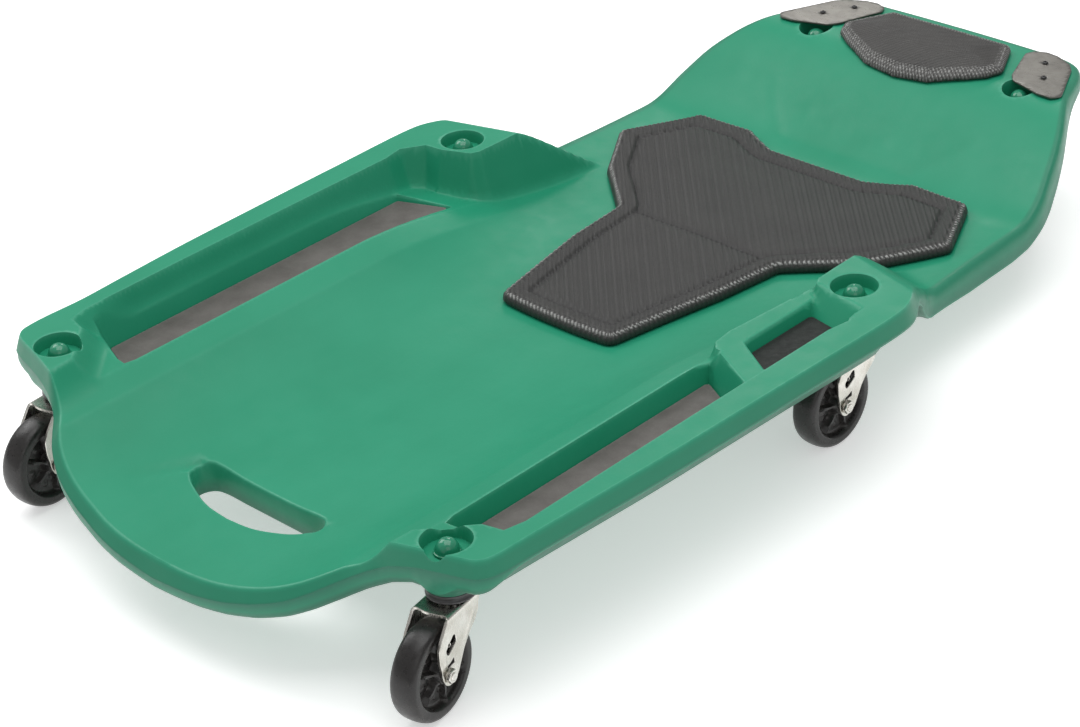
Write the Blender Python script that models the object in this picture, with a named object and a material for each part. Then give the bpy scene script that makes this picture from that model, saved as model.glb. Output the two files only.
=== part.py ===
"""Mechanics creeper: moulded twin-wall deck, two pads, tray liners, corner plates and six swivel casters.

Metres, +Z up, +Y from the foot end (handle slot) to the head end, origin under the middle of the
overall length on the floor.  Lengths below are written from the foot caster axes and shifted by Y_SHIFT.
"""
import bpy
import bmesh
import math
import numpy as np
from mathutils import Vector, Matrix
from mathutils.geometry import delaunay_2d_cdt

# ------------------------------------------------------------------ driving dimensions (m)
Y_SHIFT = -0.392          # from the foot caster axes to the middle of the length
CASTER_X = 0.2185         # foot and middle caster axes, either side of the centre line
MID_Y = 0.446             # middle casters, from the foot casters
HEAD_X, HEAD_Y = 0.115, 0.808
Z_TOP = 0.128             # flat tops of the rails and corner blocks
Z_DECK = 0.066            # lowest line of the dished deck
Z_TRAY = 0.0905           # floors of the long trays
Z_SMALL = 0.1065          # floor of the small tray
Z_RIM = 0.118             # rim round the small tray
Z_RECESS = 0.1165         # floor of the bolt recesses
R_RECESS = 0.01875
R_HOLE = 0.0052           # bolt clearance holes
Z_PAD_FACE = 0.092        # faces under the deck that the casters bolt to
R_PAD_FACE = 0.0190
WHEEL_R = 0.038
WHEEL_W = 0.0215
TRAIL = 0.032
SWIVEL = {"foot_right": -11.2, "foot_left": -5.2, "mid_right": -0.7, "mid_left": 4.0,
          "head_right": 6.0, "head_left": -8.0}

for ob in list(bpy.data.objects):
    bpy.data.objects.remove(ob, do_unlink=True)


# ------------------------------------------------------------------ small maths
def ss(a, b, t):
    u = np.clip((np.asarray(t, float) - a) / (b - a), 0.0, 1.0)
    return u * u * (3.0 - 2.0 * u)


def smax(a, b, k):
    h = np.clip(0.5 + 0.5 * (a - b) / k, 0.0, 1.0)
    return b + (a - b) * h + k * h * (1.0 - h)


def smin(a, b, k):
    return -smax(-a, -b, k)


def seg_dist(x, y, a, b):
    """Distance from points to the segment a-b."""
    ax, ay = a
    dx, dy = b[0] - ax, b[1] - ay
    t = np.clip(((x - ax) * dx + (y - ay) * dy) / (dx * dx + dy * dy + 1e-18), 0, 1)
    return np.hypot(x - ax - t * dx, y - ay - t * dy)


def poly_sd(x, y, poly):
    """Signed distance to a closed polygon, negative inside."""
    x = np.asarray(x, float)
    y = np.asarray(y, float)
    d = np.full(x.shape, 1e9)
    inside = np.zeros(x.shape, bool)
    n = len(poly)
    for i in range(n):
        a, b = poly[i], poly[(i + 1) % n]
        d = np.minimum(d, seg_dist(x, y, a, b))
        if abs(b[1] - a[1]) > 1e-12:
            cond = (a[1] > y) != (b[1] > y)
            xi = a[0] + (y - a[1]) * (b[0] - a[0]) / (b[1] - a[1])
            inside ^= cond & (x < xi)
    return np.where(inside, -d, d)


def spline(points, n):
    """Centripetal curve through the points, n pieces per span."""
    P = [np.array(p, float) for p in points]
    P = [2 * P[0] - P[1]] + P + [2 * P[-1] - P[-2]]
    out = []
    for i in range(1, len(P) - 2):
        p0, p1, p2, p3 = P[i - 1:i + 3]
        t0 = 0.0
        t1 = t0 + max(np.linalg.norm(p1 - p0), 1e-9) ** 0.5
        t2 = t1 + max(np.linalg.norm(p2 - p1), 1e-9) ** 0.5
        t3 = t2 + max(np.linalg.norm(p3 - p2), 1e-9) ** 0.5
        for j in range(n):
            t = t1 + (t2 - t1) * j / n
            a1 = (t1 - t) / (t1 - t0) * p0 + (t - t0) / (t1 - t0) * p1
            a2 = (t2 - t) / (t2 - t1) * p1 + (t - t1) / (t2 - t1) * p2
            a3 = (t3 - t) / (t3 - t2) * p2 + (t - t2) / (t3 - t2) * p3
            b1 = (t2 - t) / (t2 - t0) * a1 + (t - t0) / (t2 - t0) * a2
            b2 = (t3 - t) / (t3 - t1) * a2 + (t - t1) / (t3 - t1) * a3
            out.append((t2 - t) / (t2 - t1) * b1 + (t - t1) / (t2 - t1) * b2)
    out.append(P[-2])
    return np.array(out)


def thin_curve(c, max_len, max_turn):
    """Keep the points of a fine curve needed for a given step and turn."""
    keep = [0]
    d = np.diff(c, axis=0)
    ang = np.unwrap(np.arctan2(d[:, 1], d[:, 0]))
    last_a, length = ang[0], 0.0
    for i in range(1, len(c) - 1):
        length += np.hypot(*(c[i] - c[i - 1]))
        if length >= max_len or abs(ang[i] - last_a) >= max_turn:
            keep.append(i)
            length, last_a = 0.0, ang[i]
    keep.append(len(c) - 1)
    if len(keep) > 2 and np.hypot(*(c[keep[-1]] - c[keep[-2]])) < 0.25 * max_len:
        keep.pop(-2)
    return c[keep]


# ------------------------------------------------------------------ deck plan
HALF = [(0, -.1000), (.040, -.0988), (.075, -.0945), (.104, -.0880), (.121, -.0865), (.133, -.0832),
        (.144, -.0740), (.157, -.0590), (.169, -.0440), (.180, -.0355), (.195, -.0300), (.225, -.0205),
        (.245, -.0145), (.2550, -.0105), (.2612, -.0030), (.2640, .0080), (.2650, .0250), (.2662, .0550),
        (.2685, .1000), (.2720, .1700), (.2740, .2500), (.2760, .3400), (.2775, .4250), (.2755, .4450),
        (.2695, .4600), (.2600, .4740), (.2490, .4910), (.2394, .5080), (.2300, .5250), (.2232, .5400),
        (.2209, .5560), (.2193, .5780), (.2176, .6060), (.2152, .6620), (.2136, .6870), (.2097, .7130),
        (.2040, .7310), (.1966, .7520), (.1860, .7750), (.1766, .7920), (.1680, .8070), (.1601, .8220),
        (.1550, .8340), (.1498, .8470), (.1430, .8610), (.1310, .8740), (.1120, .8810), (.0800, .8828),
        (.0400, .8838), (0, .8842)]


def half_curve(n=10):
    return spline(HALF, n)


_H = half_curve(12)
_ys = _H[:, 1]
_side = (_H[:, 0] > .20) | (_H[:, 1] > .5)
_W_y = np.concatenate(([-.12], _H[_side & (_ys > .0) & (_ys < .868), 1], [.90]))
_W_x = np.concatenate(([.264], _H[_side & (_ys > .0) & (_ys < .868), 0], [.14]))
_o = np.argsort(_W_y)
_W_y, _W_x = _W_y[_o], _W_x[_o]


def half_width(y):
    return np.interp(y, _W_y, _W_x)


def part_z(x, y):
    """Height of the parting line that runs round the rim."""
    ax = np.abs(x)
    nose = np.interp(ax, [0, .05, .106, .132, .155, .172, .19, .21, .26], [.058, .0615, .072, .082, .096, .107, .1125, .114, .114])
    side = np.interp(y, [0, .30, .44, .470, .485, .496, .508, .520, .531, .541, .60, .662, .687, .701, .713, .731, .742,
                         .754, .777, .792, .805, .820, .831, .846, .90],
                     [.114, .1135, .113, .112, .106, .098, .085, .069, .0585, .055, .054, .054, .056, .060, .064, .070, .078,
                      .086, .098, .104, .108, .112, .116, .118, .119])
    b = ss(-.03, .02, y)
    return nose * (1 - b) + side * b


def rim_width(x, y):
    """How far in from the rim the upper wall reaches its full height."""
    ax = np.abs(x)
    nose = np.interp(ax, [0, .13, .17, .20], [.0065, .0065, .006, .005])
    side = np.interp(y, [0, .47, .50, .54, .64, .70, .76, .84], [.005, .005, .008, .012, .012, .010, .009, .008])
    b = ss(-.03, .02, y)
    return nose * (1 - b) + side * b


# ------------------------------------------------------------------ heights of the upper face
BLOCK = [(.190, -.070), (.190, -.034), (.192, -.007), (.225, .028), (.2425, .032), (.2465, .050), (.2465, .380),
         (.2500, .400), (.2370, .419), (.2190, .421), (.1930, .431), (.1893, .438), (.1885, .460), (.1875, .560),
         (.3100, .620), (.3100, -.070)]
TRAY_L = [(.1845, .038), (.2325, .056), (.2325, .376), (.1845, .394)]
TRAY_R = [(.1845, .038), (.2325, .056), (.2325, .286), (.1845, .310)]
SMALL = [(.2000, .3410), (.2390, .3190), (.2390, .4075), (.2000, .4150)]
RIM = [(.1765, .345), (.1790, .326), (.1875, .3165), (.2465, .2890), (.3100, .2890), (.3100, .440), (.1840, .440),
       (.1822, .412)]
SLOT = [(-.069, .000), (-.065, .0185), (-.058, .0200), (.058, .0200), (.065, .0185), (.069, .000)]
HEAD_N = (.257, .966)


def deck_z(x, y):
    ax = np.minimum(np.abs(x), .178)
    dish = .030 * (np.minimum(ax, .155) / .148) ** 2.6 + .35 * np.maximum(ax - .155, 0)
    lift = .009 * (1 - ss(.70, .82, y)) + .004 * np.exp(-((y - .735) / .028) ** 2)
    flat = lift * np.minimum(np.abs(x) / half_width(y), 1) ** 6
    b = ss(.28, .56, y)
    return Z_DECK + .002 * ss(.30, .60, y) + .063 * ss(.672, .812, y) + (1 - b) * dish + b * flat


def top_z(x, y, k=1.0):
    """Upper face before the rim is rounded off."""
    x = np.asarray(x, float)
    y = np.asarray(y, float)
    ax = np.abs(x)
    z = deck_z(x, y)
    sd = poly_sd(ax, y, BLOCK)
    slope = 1.25 + (3.2 - 1.25) * ss(.045, .10, y)
    crown = .002 * np.exp(-((y - .21) / .11) ** 2)
    mesa = Z_TOP + crown - slope * np.maximum(sd, 0)
    h = (ax - .183) * HEAD_N[0] + (y - .485) * HEAD_N[1]
    mesa = smin(mesa, Z_TOP - .56 * np.maximum(h, 0), .002 * k)
    mesa = smin(mesa, .1225 - .85 * (h - .0105), .003 * k)
    z = smax(z, mesa, .008 * k)
    right = x > 0
    rim = Z_RIM - 3.0 * np.maximum(poly_sd(ax, y, RIM), 0)
    z = np.where(right, smax(z, rim, .004 * k), z)
    for poly, floor, sel in ((TRAY_L, Z_TRAY, ~right), (TRAY_R, Z_TRAY, right), (SMALL, Z_SMALL, right)):
        p = floor + 3.2 * np.maximum(poly_sd(ax, y, poly), 0)
        z = np.where(sel, smin(z, p, .003 * k), z)
    return z


CASTERS = {"foot_right": (CASTER_X, 0.0), "foot_left": (-CASTER_X, 0.0), "mid_right": (CASTER_X, MID_Y),
           "mid_left": (-CASTER_X, MID_Y), "head_right": (HEAD_X, HEAD_Y), "head_left": (-HEAD_X, HEAD_Y)}
PLATE_SCREWS = [(.1246, .8300), (.1080, .8560)]


def edge_shape(t, n=3.4):
    t = np.clip(t, 0, 1)
    return (1 - (1 - t) ** n) ** (1 / n)


def under_z(x, y):
    """Lower face before the rim band is added: clear of the casters' full swivel circles."""
    ax = np.abs(x)
    out = ss(.36, .42, y)
    shelf = .048 + .037 * ss(.128 + .022 * out, .158 + .028 * out, ax) * (1 - ss(.49, .545, y))
    block = np.maximum((1 - ss(.012, .028, y)), ss(.424, .438, y) * (1 - ss(.49, .53, y))) * ss(.178, .196, ax)
    z = shelf + .012 * block
    for cx, cy in ((CASTER_X, 0.0), (CASTER_X, MID_Y)):
        r = np.hypot(ax - cx, y - cy)
        z = np.maximum(z, np.interp(r, [0, .034, .040, .047, .053, .059, .065, .070, .078],
                                    [.0865, .0865, .0815, .0795, .0765, .0715, .065, .056, .040]))
    z = np.maximum(z, .048 + .052 * ss(.68, .745, y))
    z = np.maximum(z, .0925 - .50 * np.maximum(np.hypot(ax - CASTER_X, y) - .062, 0) - .9 * np.maximum(y, 0))
    return z


def pad_face(x, y, z):
    for cx, cy in CASTERS.values():
        r = np.hypot(x - cx, y - cy)
        z = np.minimum(z, Z_PAD_FACE + 1.6 * np.maximum(r - R_PAD_FACE, 0))
        z = np.where(r < R_PAD_FACE + 1e-6, Z_PAD_FACE, z)
    return z


# ------------------------------------------------------------------ meshes
def place(v):
    return (float(v[0]), float(v[1]) + Y_SHIFT, float(v[2]))


MATS = {}


def material(name, rgb, rough, metal=0.0):
    if name not in MATS:
        m = bpy.data.materials.new(name)
        m.use_nodes = True
        b = m.node_tree.nodes["Principled BSDF"]
        b.inputs["Base Color"].default_value = (rgb[0], rgb[1], rgb[2], 1.0)
        b.inputs["Roughness"].default_value = rough
        b.inputs["Metallic"].default_value = metal
        m.diffuse_color = (rgb[0], rgb[1], rgb[2], 1.0)
        MATS[name] = m
    return MATS[name]


def new_object(name, verts, faces, mat, smooth=None):
    me = bpy.data.meshes.new(name)
    me.from_pydata([place(v) for v in verts], [], [tuple(int(i) for i in f) for f in faces])
    bm = bmesh.new()
    bm.from_mesh(me)
    bmesh.ops.recalc_face_normals(bm, faces=bm.faces)
    bm.to_mesh(me)
    bm.free()
    me.validate()
    me.materials.append(mat)
    if smooth:
        for p in me.polygons:
            p.use_smooth = True
        me.set_sharp_from_angle(angle=math.radians(smooth))
    ob = bpy.data.objects.new(name, me)
    bpy.context.scene.collection.objects.link(ob)
    return ob


def offset_loop(loop, d):
    """Closed loop (counter-clockwise) moved inwards by d (array or number)."""
    nxt = np.roll(loop, -1, axis=0)
    prv = np.roll(loop, 1, axis=0)
    t1 = loop - prv
    t2 = nxt - loop
    t1 /= np.linalg.norm(t1, axis=1)[:, None]
    t2 /= np.linalg.norm(t2, axis=1)[:, None]
    n1 = np.stack((-t1[:, 1], t1[:, 0]), 1)
    n2 = np.stack((-t2[:, 1], t2[:, 0]), 1)
    n = n1 + n2
    n /= np.maximum((n * n1).sum(1), .3)[:, None] * np.linalg.norm(n, axis=1)[:, None] ** 0
    n = n1 + n2
    n /= np.linalg.norm(n, axis=1)[:, None]
    c = np.maximum((n * n1).sum(1), .5)
    return loop + n * (np.asarray(d) / c)[:, None] if np.ndim(d) else loop + n * (d / c)[:, None]


def circle(cx, cy, r, n, ph=0.0):
    a = np.arange(n) * 2 * math.pi / n + ph
    return np.stack((cx + r * np.cos(a), cy + r * np.sin(a)), 1)


def triangulate(loops, lines, points, outer, holes):
    """Constrained triangulation: closed loops, open lines and loose points, kept inside outer and outside holes."""
    co, edges, srcs = [], [], []
    index = {}

    def add(p):
        key = (round(float(p[0]), 7), round(float(p[1]), 7))
        if key not in index:
            index[key] = len(co)
            co.append(Vector((float(p[0]), float(p[1]))))
            srcs.append((float(p[0]), float(p[1])))
        return index[key]

    for lp in loops:
        ids = [add(p) for p in lp]
        edges += [(ids[i], ids[(i + 1) % len(ids)]) for i in range(len(ids)) if ids[i] != ids[(i + 1) % len(ids)]]
    for ln in lines:
        ids = [add(p) for p in ln]
        edges += [(ids[i], ids[i + 1]) for i in range(len(ids) - 1) if ids[i] != ids[i + 1]]
    for p in points:
        add(p)
    v, _, f, ov, _, _ = delaunay_2d_cdt(co, edges, [], 0, 1e-7)
    V = np.array([[p.x, p.y] for p in v])
    for o, src in enumerate(ov):
        if src:
            V[o] = srcs[src[0]]
    where = {i: o for o, src in enumerate(ov) for i in src}
    F = np.array([t for t in f if len(t) == 3], int)
    c = V[F].mean(1)
    ok = poly_sd(c[:, 0], c[:, 1], outer) < 0
    for h in holes:
        ok &= poly_sd(c[:, 0], c[:, 1], h) > 0
    return V, F[ok], (lambda p: where[index[(round(float(p[0]), 7), round(float(p[1]), 7))]])


def lattice(xs, ys):
    gx, gy = np.meshgrid(xs, ys)
    return np.stack((gx.ravel(), gy.ravel()), 1)


def dense_line(a, b, step):
    n = max(1, int(round(math.hypot(b[0] - a[0], b[1] - a[1]) / step)))
    return [(a[0] + (b[0] - a[0]) * i / n, a[1] + (b[1] - a[1]) * i / n) for i in range(n + 1)]


def slot_loop(n):
    """Handle slot: straight edge to the head, bowed edge to the foot."""
    pts = [(.0, .0200), (.030, .0200), (.056, .0200), (.0640, .0180), (.0685, .0120), (.0690, .0060), (.0660, -.0005),
           (.0590, -.0062), (.0450, -.0125), (.0250, -.0188), (.0, -.0212)]
    r = spline(pts, n)
    left = r[1:-1][::-1] * np.array((-1, 1))
    loop = np.concatenate((r, left))
    return loop[::-1]                       # counter-clockwise seen from above


def deck_outline(max_len, max_turn):
    h = thin_curve(half_curve(16), max_len, max_turn)
    left = h[1:-1][::-1] * np.array((-1, 1))
    return np.concatenate((h, left))


def raw_z(x, y, skip):
    """Upper face at one point without the pocket 'skip' (used to find the rims of the pockets)."""
    ax = abs(x)
    z = float(deck_z(x, y))
    sd = float(poly_sd(ax, y, BLOCK))
    slope = 1.25 + 1.95 * float(ss(.045, .10, y))
    h = (ax - .183) * HEAD_N[0] + (y - .485) * HEAD_N[1]
    mesa = min(Z_TOP - slope * max(sd, 0), Z_TOP - .56 * max(h, 0), .1225 - .85 * (h - .0105))
    rim = Z_RIM - 3.0 * max(float(poly_sd(ax, y, RIM)), 0) if x > 0 else -1
    return max(z, mesa, rim)


def rim_line(poly, floor, mirror, step):
    """Loop where the walls of a pocket reach the face above."""
    p = np.array([(mirror * a, b) for a, b in poly])
    if ((np.roll(p[:, 0], -1) - p[:, 0]) * (np.roll(p[:, 1], -1) + p[:, 1])).sum() > 0:
        p = p[::-1]
    out = []
    n = len(p)
    for i in range(n):
        a, b, c = p[i - 1], p[i], p[(i + 1) % n]
        t1, t2 = (b - a) / np.linalg.norm(b - a), (c - b) / np.linalg.norm(c - b)
        n1, n2 = np.array((t1[1], -t1[0])), np.array((t2[1], -t2[0]))
        dirs = [(b, (n1 + n2) / np.linalg.norm(n1 + n2))]
        L = np.linalg.norm(c - b)
        m = max(2, int(round(L / step)))
        dirs += [(b + (c - b) * j / m, n2) for j in range(1, m)]
        for q, d in dirs:
            s = 0.0
            while s < .03:
                w = q + d * s
                if floor + 3.2 * s >= raw_z(w[0], w[1], None):
                    break
                s += .0004
            out.append(q + d * s)
    return np.array(out)


def foot_line(poly, i0, i1, mirror, top, slope, step):
    """Line where the slope below part of a polygon's edge meets the deck."""
    out = []
    for i in range(i0, i1):
        a, b = np.array(poly[i]), np.array(poly[i + 1])
        t = (b - a) / np.linalg.norm(b - a)
        nrm = np.array((-t[1], t[0]))
        if float(poly_sd(*( (a + b) / 2 + nrm * 1e-4), poly)) < 0:
            nrm = -nrm
        m = max(1, int(round(np.linalg.norm(b - a) / step)))
        for j in range(m + (i == i1 - 1)):
            q = a + (b - a) * j / m
            s = 0.0
            while s < .05 and top - slope(q[1]) * s > float(deck_z(*(q + nrm * s))):
                s += .0005
            w = q + nrm * s
            out.append((mirror * w[0], w[1]))
    return np.array(out)


def build_deck():
    out = deck_outline(.030, math.radians(13))
    rimw = rim_width(out[:, 0], out[:, 1])
    slot = slot_loop(1)
    holes = {k: circle(c[0], c[1], R_HOLE, 12) for k, c in CASTERS.items()}
    blind = {}
    for sx in (1, -1):
        for i, (px, py) in enumerate(PLATE_SCREWS):
            blind[(sx, i)] = circle(sx * px, py, .0019, 8)
    rings = [offset_loop(out, rimw * t) for t in (.10, .45, 1.0)]
    slot_rings = [offset_loop(slot, -d) for d in (.0008, .004)]
    rec = []
    for c in CASTERS.values():
        rec.append(circle(c[0], c[1], R_RECESS - .0006, 20))
        rec.append(circle(c[0], c[1], R_RECESS, 20))
    lines = []
    for sx, tray in ((1, TRAY_R), (-1, TRAY_L), (1, SMALL)):
        p = [(sx * a, b) for a, b in tray]
        for i in range(4):
            lines.append([p[i], p[(i + 1) % 4]] if i % 2 == 0 else dense_line(p[i], p[(i + 1) % 4], .055))
    for sx in (1, -1):
        b = [(sx * a, c) for a, c in BLOCK[2:13]]
        for i in range(len(b) - 1):
            lines.append(dense_line(b[i], b[i + 1], .055))
    rims = [rim_line(TRAY_R, Z_TRAY, 1, .03), rim_line(TRAY_L, Z_TRAY, -1, .03), rim_line(SMALL, Z_SMALL, 1, .02)]
    lines += [np.concatenate((r, r[:1])) for r in rims]
    lines.append(foot_line(BLOCK, 9, 13, -1, Z_TOP, lambda y: 3.2, .012))
    lines.append(foot_line(BLOCK, 10, 13, 1, Z_TOP, lambda y: 3.2, .012))
    lines.append([RIM[i] for i in (7, 0, 1, 2, 3)])
    lines.append(foot_line(RIM[7:] + RIM[:4], 0, 3, 1, Z_RIM, lambda y: 3.0, .02))
    h0 = np.array((.183, .485))
    hd = np.array((.966, -.257))
    for sx in (1, -1):
        for off in (0.0, .0105):
            q = [h0 + np.array(HEAD_N) * off + hd * t for t in ((.004 if off else 0.0), .03, .06, .076)]
            lines.append([(sx * p[0], p[1]) for p in q])
    # loose points
    pts = []
    xs_rail = [.1575, .168, .1765, .2085, .2575]
    ys = np.arange(-.02, .49, .027)
    for sx in (1, -1):
        pts.append(lattice(sx * np.array(xs_rail), ys))
    pts.append(lattice(np.array([-.14, -.118, -.092, -.065, -.035, 0, .035, .065, .092, .118, .14]), np.arange(-.075, .50, .036)))
    pts.append(lattice(np.linspace(-.21, .21, 15), np.arange(.505, .87, .021)))
    pts.append(np.array([(sx * (.19 + .0085 * i), y) for sx in (1, -1) for i in range(8) for y in (.44, .455, .47, .485, .50)]))
    pts.append(np.array([(sx * x, y) for sx in (1, -1) for x in (.150, .163, .176, .184) for y in (-.045, -.025, -.008, .010, .026)]))
    pts.append(np.array([(sx * x, y) for sx in (1, -1) for x in (.196, .208, .222, .236) for y in (.012, .024, .036, .046)]))
    pts.append(np.array([(x, y) for x in (.181, .188, .194, .205, .22, .234) for y in (.300, .3085, .3175, .326, .334)]))
    pts = np.concatenate(pts)
    # keep loose points clear of the loops
    inner = poly_sd(pts[:, 0], pts[:, 1], rings[-1])
    ok = inner < -.006
    ok &= poly_sd(pts[:, 0], pts[:, 1], slot) > .010
    for c in CASTERS.values():
        ok &= np.abs(np.hypot(pts[:, 0] - c[0], pts[:, 1] - c[1])) > R_RECESS + .0035
    for sx in (1, -1):
        for px, py in PLATE_SCREWS:
            ok &= np.hypot(pts[:, 0] - sx * px, pts[:, 1] - py) > .006
    for ln in lines:
        for a, b in zip(ln[:-1], ln[1:]):
            d = seg_dist(pts[:, 0], pts[:, 1], a, b)
            ok &= d > .0022
    pts = pts[ok]
    # recess rings stay off the block lines where they would nearly touch
    hole_list = [slot] + list(holes.values()) + list(blind.values())
    V, F, top_id = triangulate([out] + rings + [slot] + slot_rings + rec + list(holes.values()) + list(blind.values()),
                       lines, pts, out, hole_list)
    x, y = V[:, 0], V[:, 1]
    d_out = np.maximum(-poly_sd(x, y, out), 0)
    zt = top_z(x, y)
    for c in CASTERS.values():
        r = np.hypot(x - c[0], y - c[1])
        zt = np.where(r < R_RECESS - .0003, np.minimum(zt, Z_RECESS), zt)
    zp = part_z(x, y)
    t = d_out / rim_width(x, y)
    zt = np.where(t < 1, zp + (zt - zp) * edge_shape(t), zt)
    d_slot = np.abs(poly_sd(x, y, slot))
    zm = .056
    zt = np.where(d_slot < .004, zm + (zt - zm) * edge_shape(d_slot / .004), zt)
    top = np.stack((x, y, zt), 1)
    # lower face
    ub_rings = [offset_loop(out, d) for d in (.004, .012)]
    us_ring = offset_loop(slot, -.003)
    pods = []
    for c in CASTERS.values():
        pods.append(circle(c[0], c[1], R_PAD_FACE, 20))
        pods.append(circle(c[0], c[1], R_PAD_FACE + .0022, 20))
    kx = np.array([.04, .08, .115, .130, .143, .158, .173, .190, .2360, .2470])
    kx = np.concatenate((-kx[::-1], (0,), kx))
    q = [lattice(kx, np.concatenate(((-.068, -.044, -.018, .010, .030), np.arange(.065, .39, .045), (.405, .430, .455, .480, .503)))),
         lattice(np.linspace(-.21, .21, 13), np.arange(.53, .87, .0265))]
    q = np.concatenate(q)
    ok = poly_sd(q[:, 0], q[:, 1], ub_rings[-1]) < -.006
    ok &= poly_sd(q[:, 0], q[:, 1], slot) > .009
    for c in CASTERS.values():
        ok &= np.hypot(q[:, 0] - c[0], q[:, 1] - c[1]) > R_PAD_FACE + .010
    q = q[ok]
    # rings that would leave the plan near the head casters are trimmed by the triangulation
    V2, F2, low_id = triangulate([out] + ub_rings + [slot, us_ring] + pods + list(holes.values()), [], q, out,
                         [slot] + list(holes.values()))
    x, y = V2[:, 0], V2[:, 1]
    d = np.maximum(-poly_sd(x, y, out), 0)
    zb = under_z(x, y)
    zp = part_z(x, y)
    # band under the parting line: deep and steep at the nose and blocks, a thin lip along the rails and head
    steep = np.maximum(1 - ss(-.01, .03, y), 0)
    band = zp - (np.minimum(d, .004) / .004) * (.0145 * steep + .0035 * (1 - steep))
    far = ss(.004, .027, d)
    level = np.where(d <= .004, band, band * (1 - far) + zb * far)
    level = np.where((zb < zp) & (y > .03), np.maximum(level, zb), level)
    level = np.where((y > .52) & (y < .66) & (d > 1e-6), np.minimum(level, zp - .0005), level)
    zb = level
    zb = pad_face(x, y, zb)
    # keep at least 5 mm of body under the upper face
    zt2 = top_z(x, y)
    t = d / rim_width(x, y)
    zt2 = np.where(t < 1, zp + (zt2 - zp) * edge_shape(t), zt2)
    inner = d > .0035
    pod = np.zeros(len(x), bool)
    for c in CASTERS.values():
        pod |= np.hypot(x - c[0], y - c[1]) < R_PAD_FACE + 1e-5
    zb = np.where(inner & ~pod, np.minimum(zb, zt2 - .005), zb)
    d_slot = np.abs(poly_sd(x, y, slot))
    zb = np.where(d_slot < .003, zm - (zm - zb) * edge_shape(d_slot / .003), zb)
    d0 = d < 1e-6
    zb = np.where(d0, part_z(x, y), zb)
    bottom = np.stack((x, y, zb), 1)
    # join the faces: the outline and the slot share vertices, the bolt holes get walls, the screw holes get floors
    verts = [tuple(p) for p in top]
    faces = [tuple(t) for t in F]
    shared = {low_id(p): top_id(p) for p in np.concatenate((out, slot))}
    remap = {}
    for i, p in enumerate(bottom):
        if i in shared:
            remap[i] = shared[i]
        else:
            remap[i] = len(verts)
            verts.append(tuple(p))
    faces += [(remap[t[0]], remap[t[2]], remap[t[1]]) for t in F2]
    for lp in holes.values():
        ids = [(top_id(p), remap[low_id(p)]) for p in lp]
        for i in range(len(ids)):
            a, b = ids[i], ids[(i + 1) % len(ids)]
            faces.append((a[0], b[0], b[1], a[1]))
    for lp in blind.values():
        ids = [top_id(p) for p in lp]
        low = []
        for i in ids:
            p = verts[i]
            low.append(len(verts))
            verts.append((p[0], p[1], .1205))
        n = len(ids)
        for i in range(n):
            faces.append((ids[i], ids[(i + 1) % n], low[(i + 1) % n], low[i]))
        faces.append(tuple(low))
    used = sorted({i for f in faces for i in f})
    back = {o: n for n, o in enumerate(used)}
    verts = [verts[i] for i in used]
    faces = [tuple(back[i] for i in f) for f in faces]
    return verts, faces


GREEN = material("green_polyethylene", (.045, .33, .19), .42)
verts, faces = build_deck()
deck = new_object("deck_body", verts, faces, GREEN, smooth=28)
print("deck", len(verts), "verts", sum(len(f) - 2 for f in faces), "tris")


# ------------------------------------------------------------------ helpers for the other pieces
def prism(name, loop, z0, z1, mat, holes=(), smooth=None):
    """Flat plate: plan loop (counter-clockwise), holes as loops, z0 and z1 constant."""
    V, F, idx = triangulate([loop] + list(holes), [], [], loop, list(holes))
    n = len(V)
    verts = [(p[0], p[1], z1) for p in V] + [(p[0], p[1], z0) for p in V]
    faces = [tuple(t) for t in F] + [(t[0] + n, t[2] + n, t[1] + n) for t in F]
    for lp in [loop] + list(holes):
        ids = [idx(p) for p in lp]
        for i in range(len(ids)):
            a, b = ids[i], ids[(i + 1) % len(ids)]
            faces.append((a, a + n, b + n, b))
    return new_object(name, verts, faces, mat, smooth)


def rounded(poly, r, n=4):
    """Polygon with rounded corners (list of (x, y)); r may be a list."""
    out = []
    m = len(poly)
    for i in range(m):
        rr = r[i] if isinstance(r, (list, tuple)) else r
        p = np.array(poly[i], float)
        a = np.array(poly[i - 1], float) - p
        b = np.array(poly[(i + 1) % m], float) - p
        la, lb = np.linalg.norm(a), np.linalg.norm(b)
        a, b = a / la, b / lb
        half = math.acos(max(-1, min(1, float(a @ b)))) / 2
        if rr <= 0 or half > math.radians(87):
            out.append(p)
            continue
        t = min(rr / math.tan(half), la * .48, lb * .48)
        rr = t * math.tan(half)
        c = p + (a + b) / np.linalg.norm(a + b) * (rr / math.sin(half))
        s, e = p + a * t, p + b * t
        a0 = math.atan2(*(s - c)[::-1])
        a1 = math.atan2(*(e - c)[::-1])
        d = (a1 - a0 + math.pi) % (2 * math.pi) - math.pi
        for j in range(n + 1):
            out.append(c + rr * np.array((math.cos(a0 + d * j / n), math.sin(a0 + d * j / n))))
    return np.array(out)


def revolve(name, profile, n, mat, smooth=35, closed=True):
    """Ring or solid turned about Z from (r, z) points that run round the section; r = 0 points become poles."""
    verts, rows = [], []
    for r, z in profile:
        if r < 1e-9:
            rows.append([len(verts)])
            verts.append((0, -Y_SHIFT, z))
        else:
            rows.append(list(range(len(verts), len(verts) + n)))
            verts += [(r * math.cos(2 * math.pi * i / n), r * math.sin(2 * math.pi * i / n) - Y_SHIFT, z) for i in range(n)]
    faces = []
    m = len(rows)
    for k in range(m if closed else m - 1):
        a, b = rows[k], rows[(k + 1) % m]
        if len(a) == 1 and len(b) == 1:
            continue
        for i in range(n):
            j = (i + 1) % n
            if len(a) == 1:
                faces.append((a[0], b[i], b[j]))
            elif len(b) == 1:
                faces.append((a[i], a[j], b[0]))
            else:
                faces.append((a[i], a[j], b[j], b[i]))
    return new_object(name, verts, faces, mat, smooth)


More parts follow.
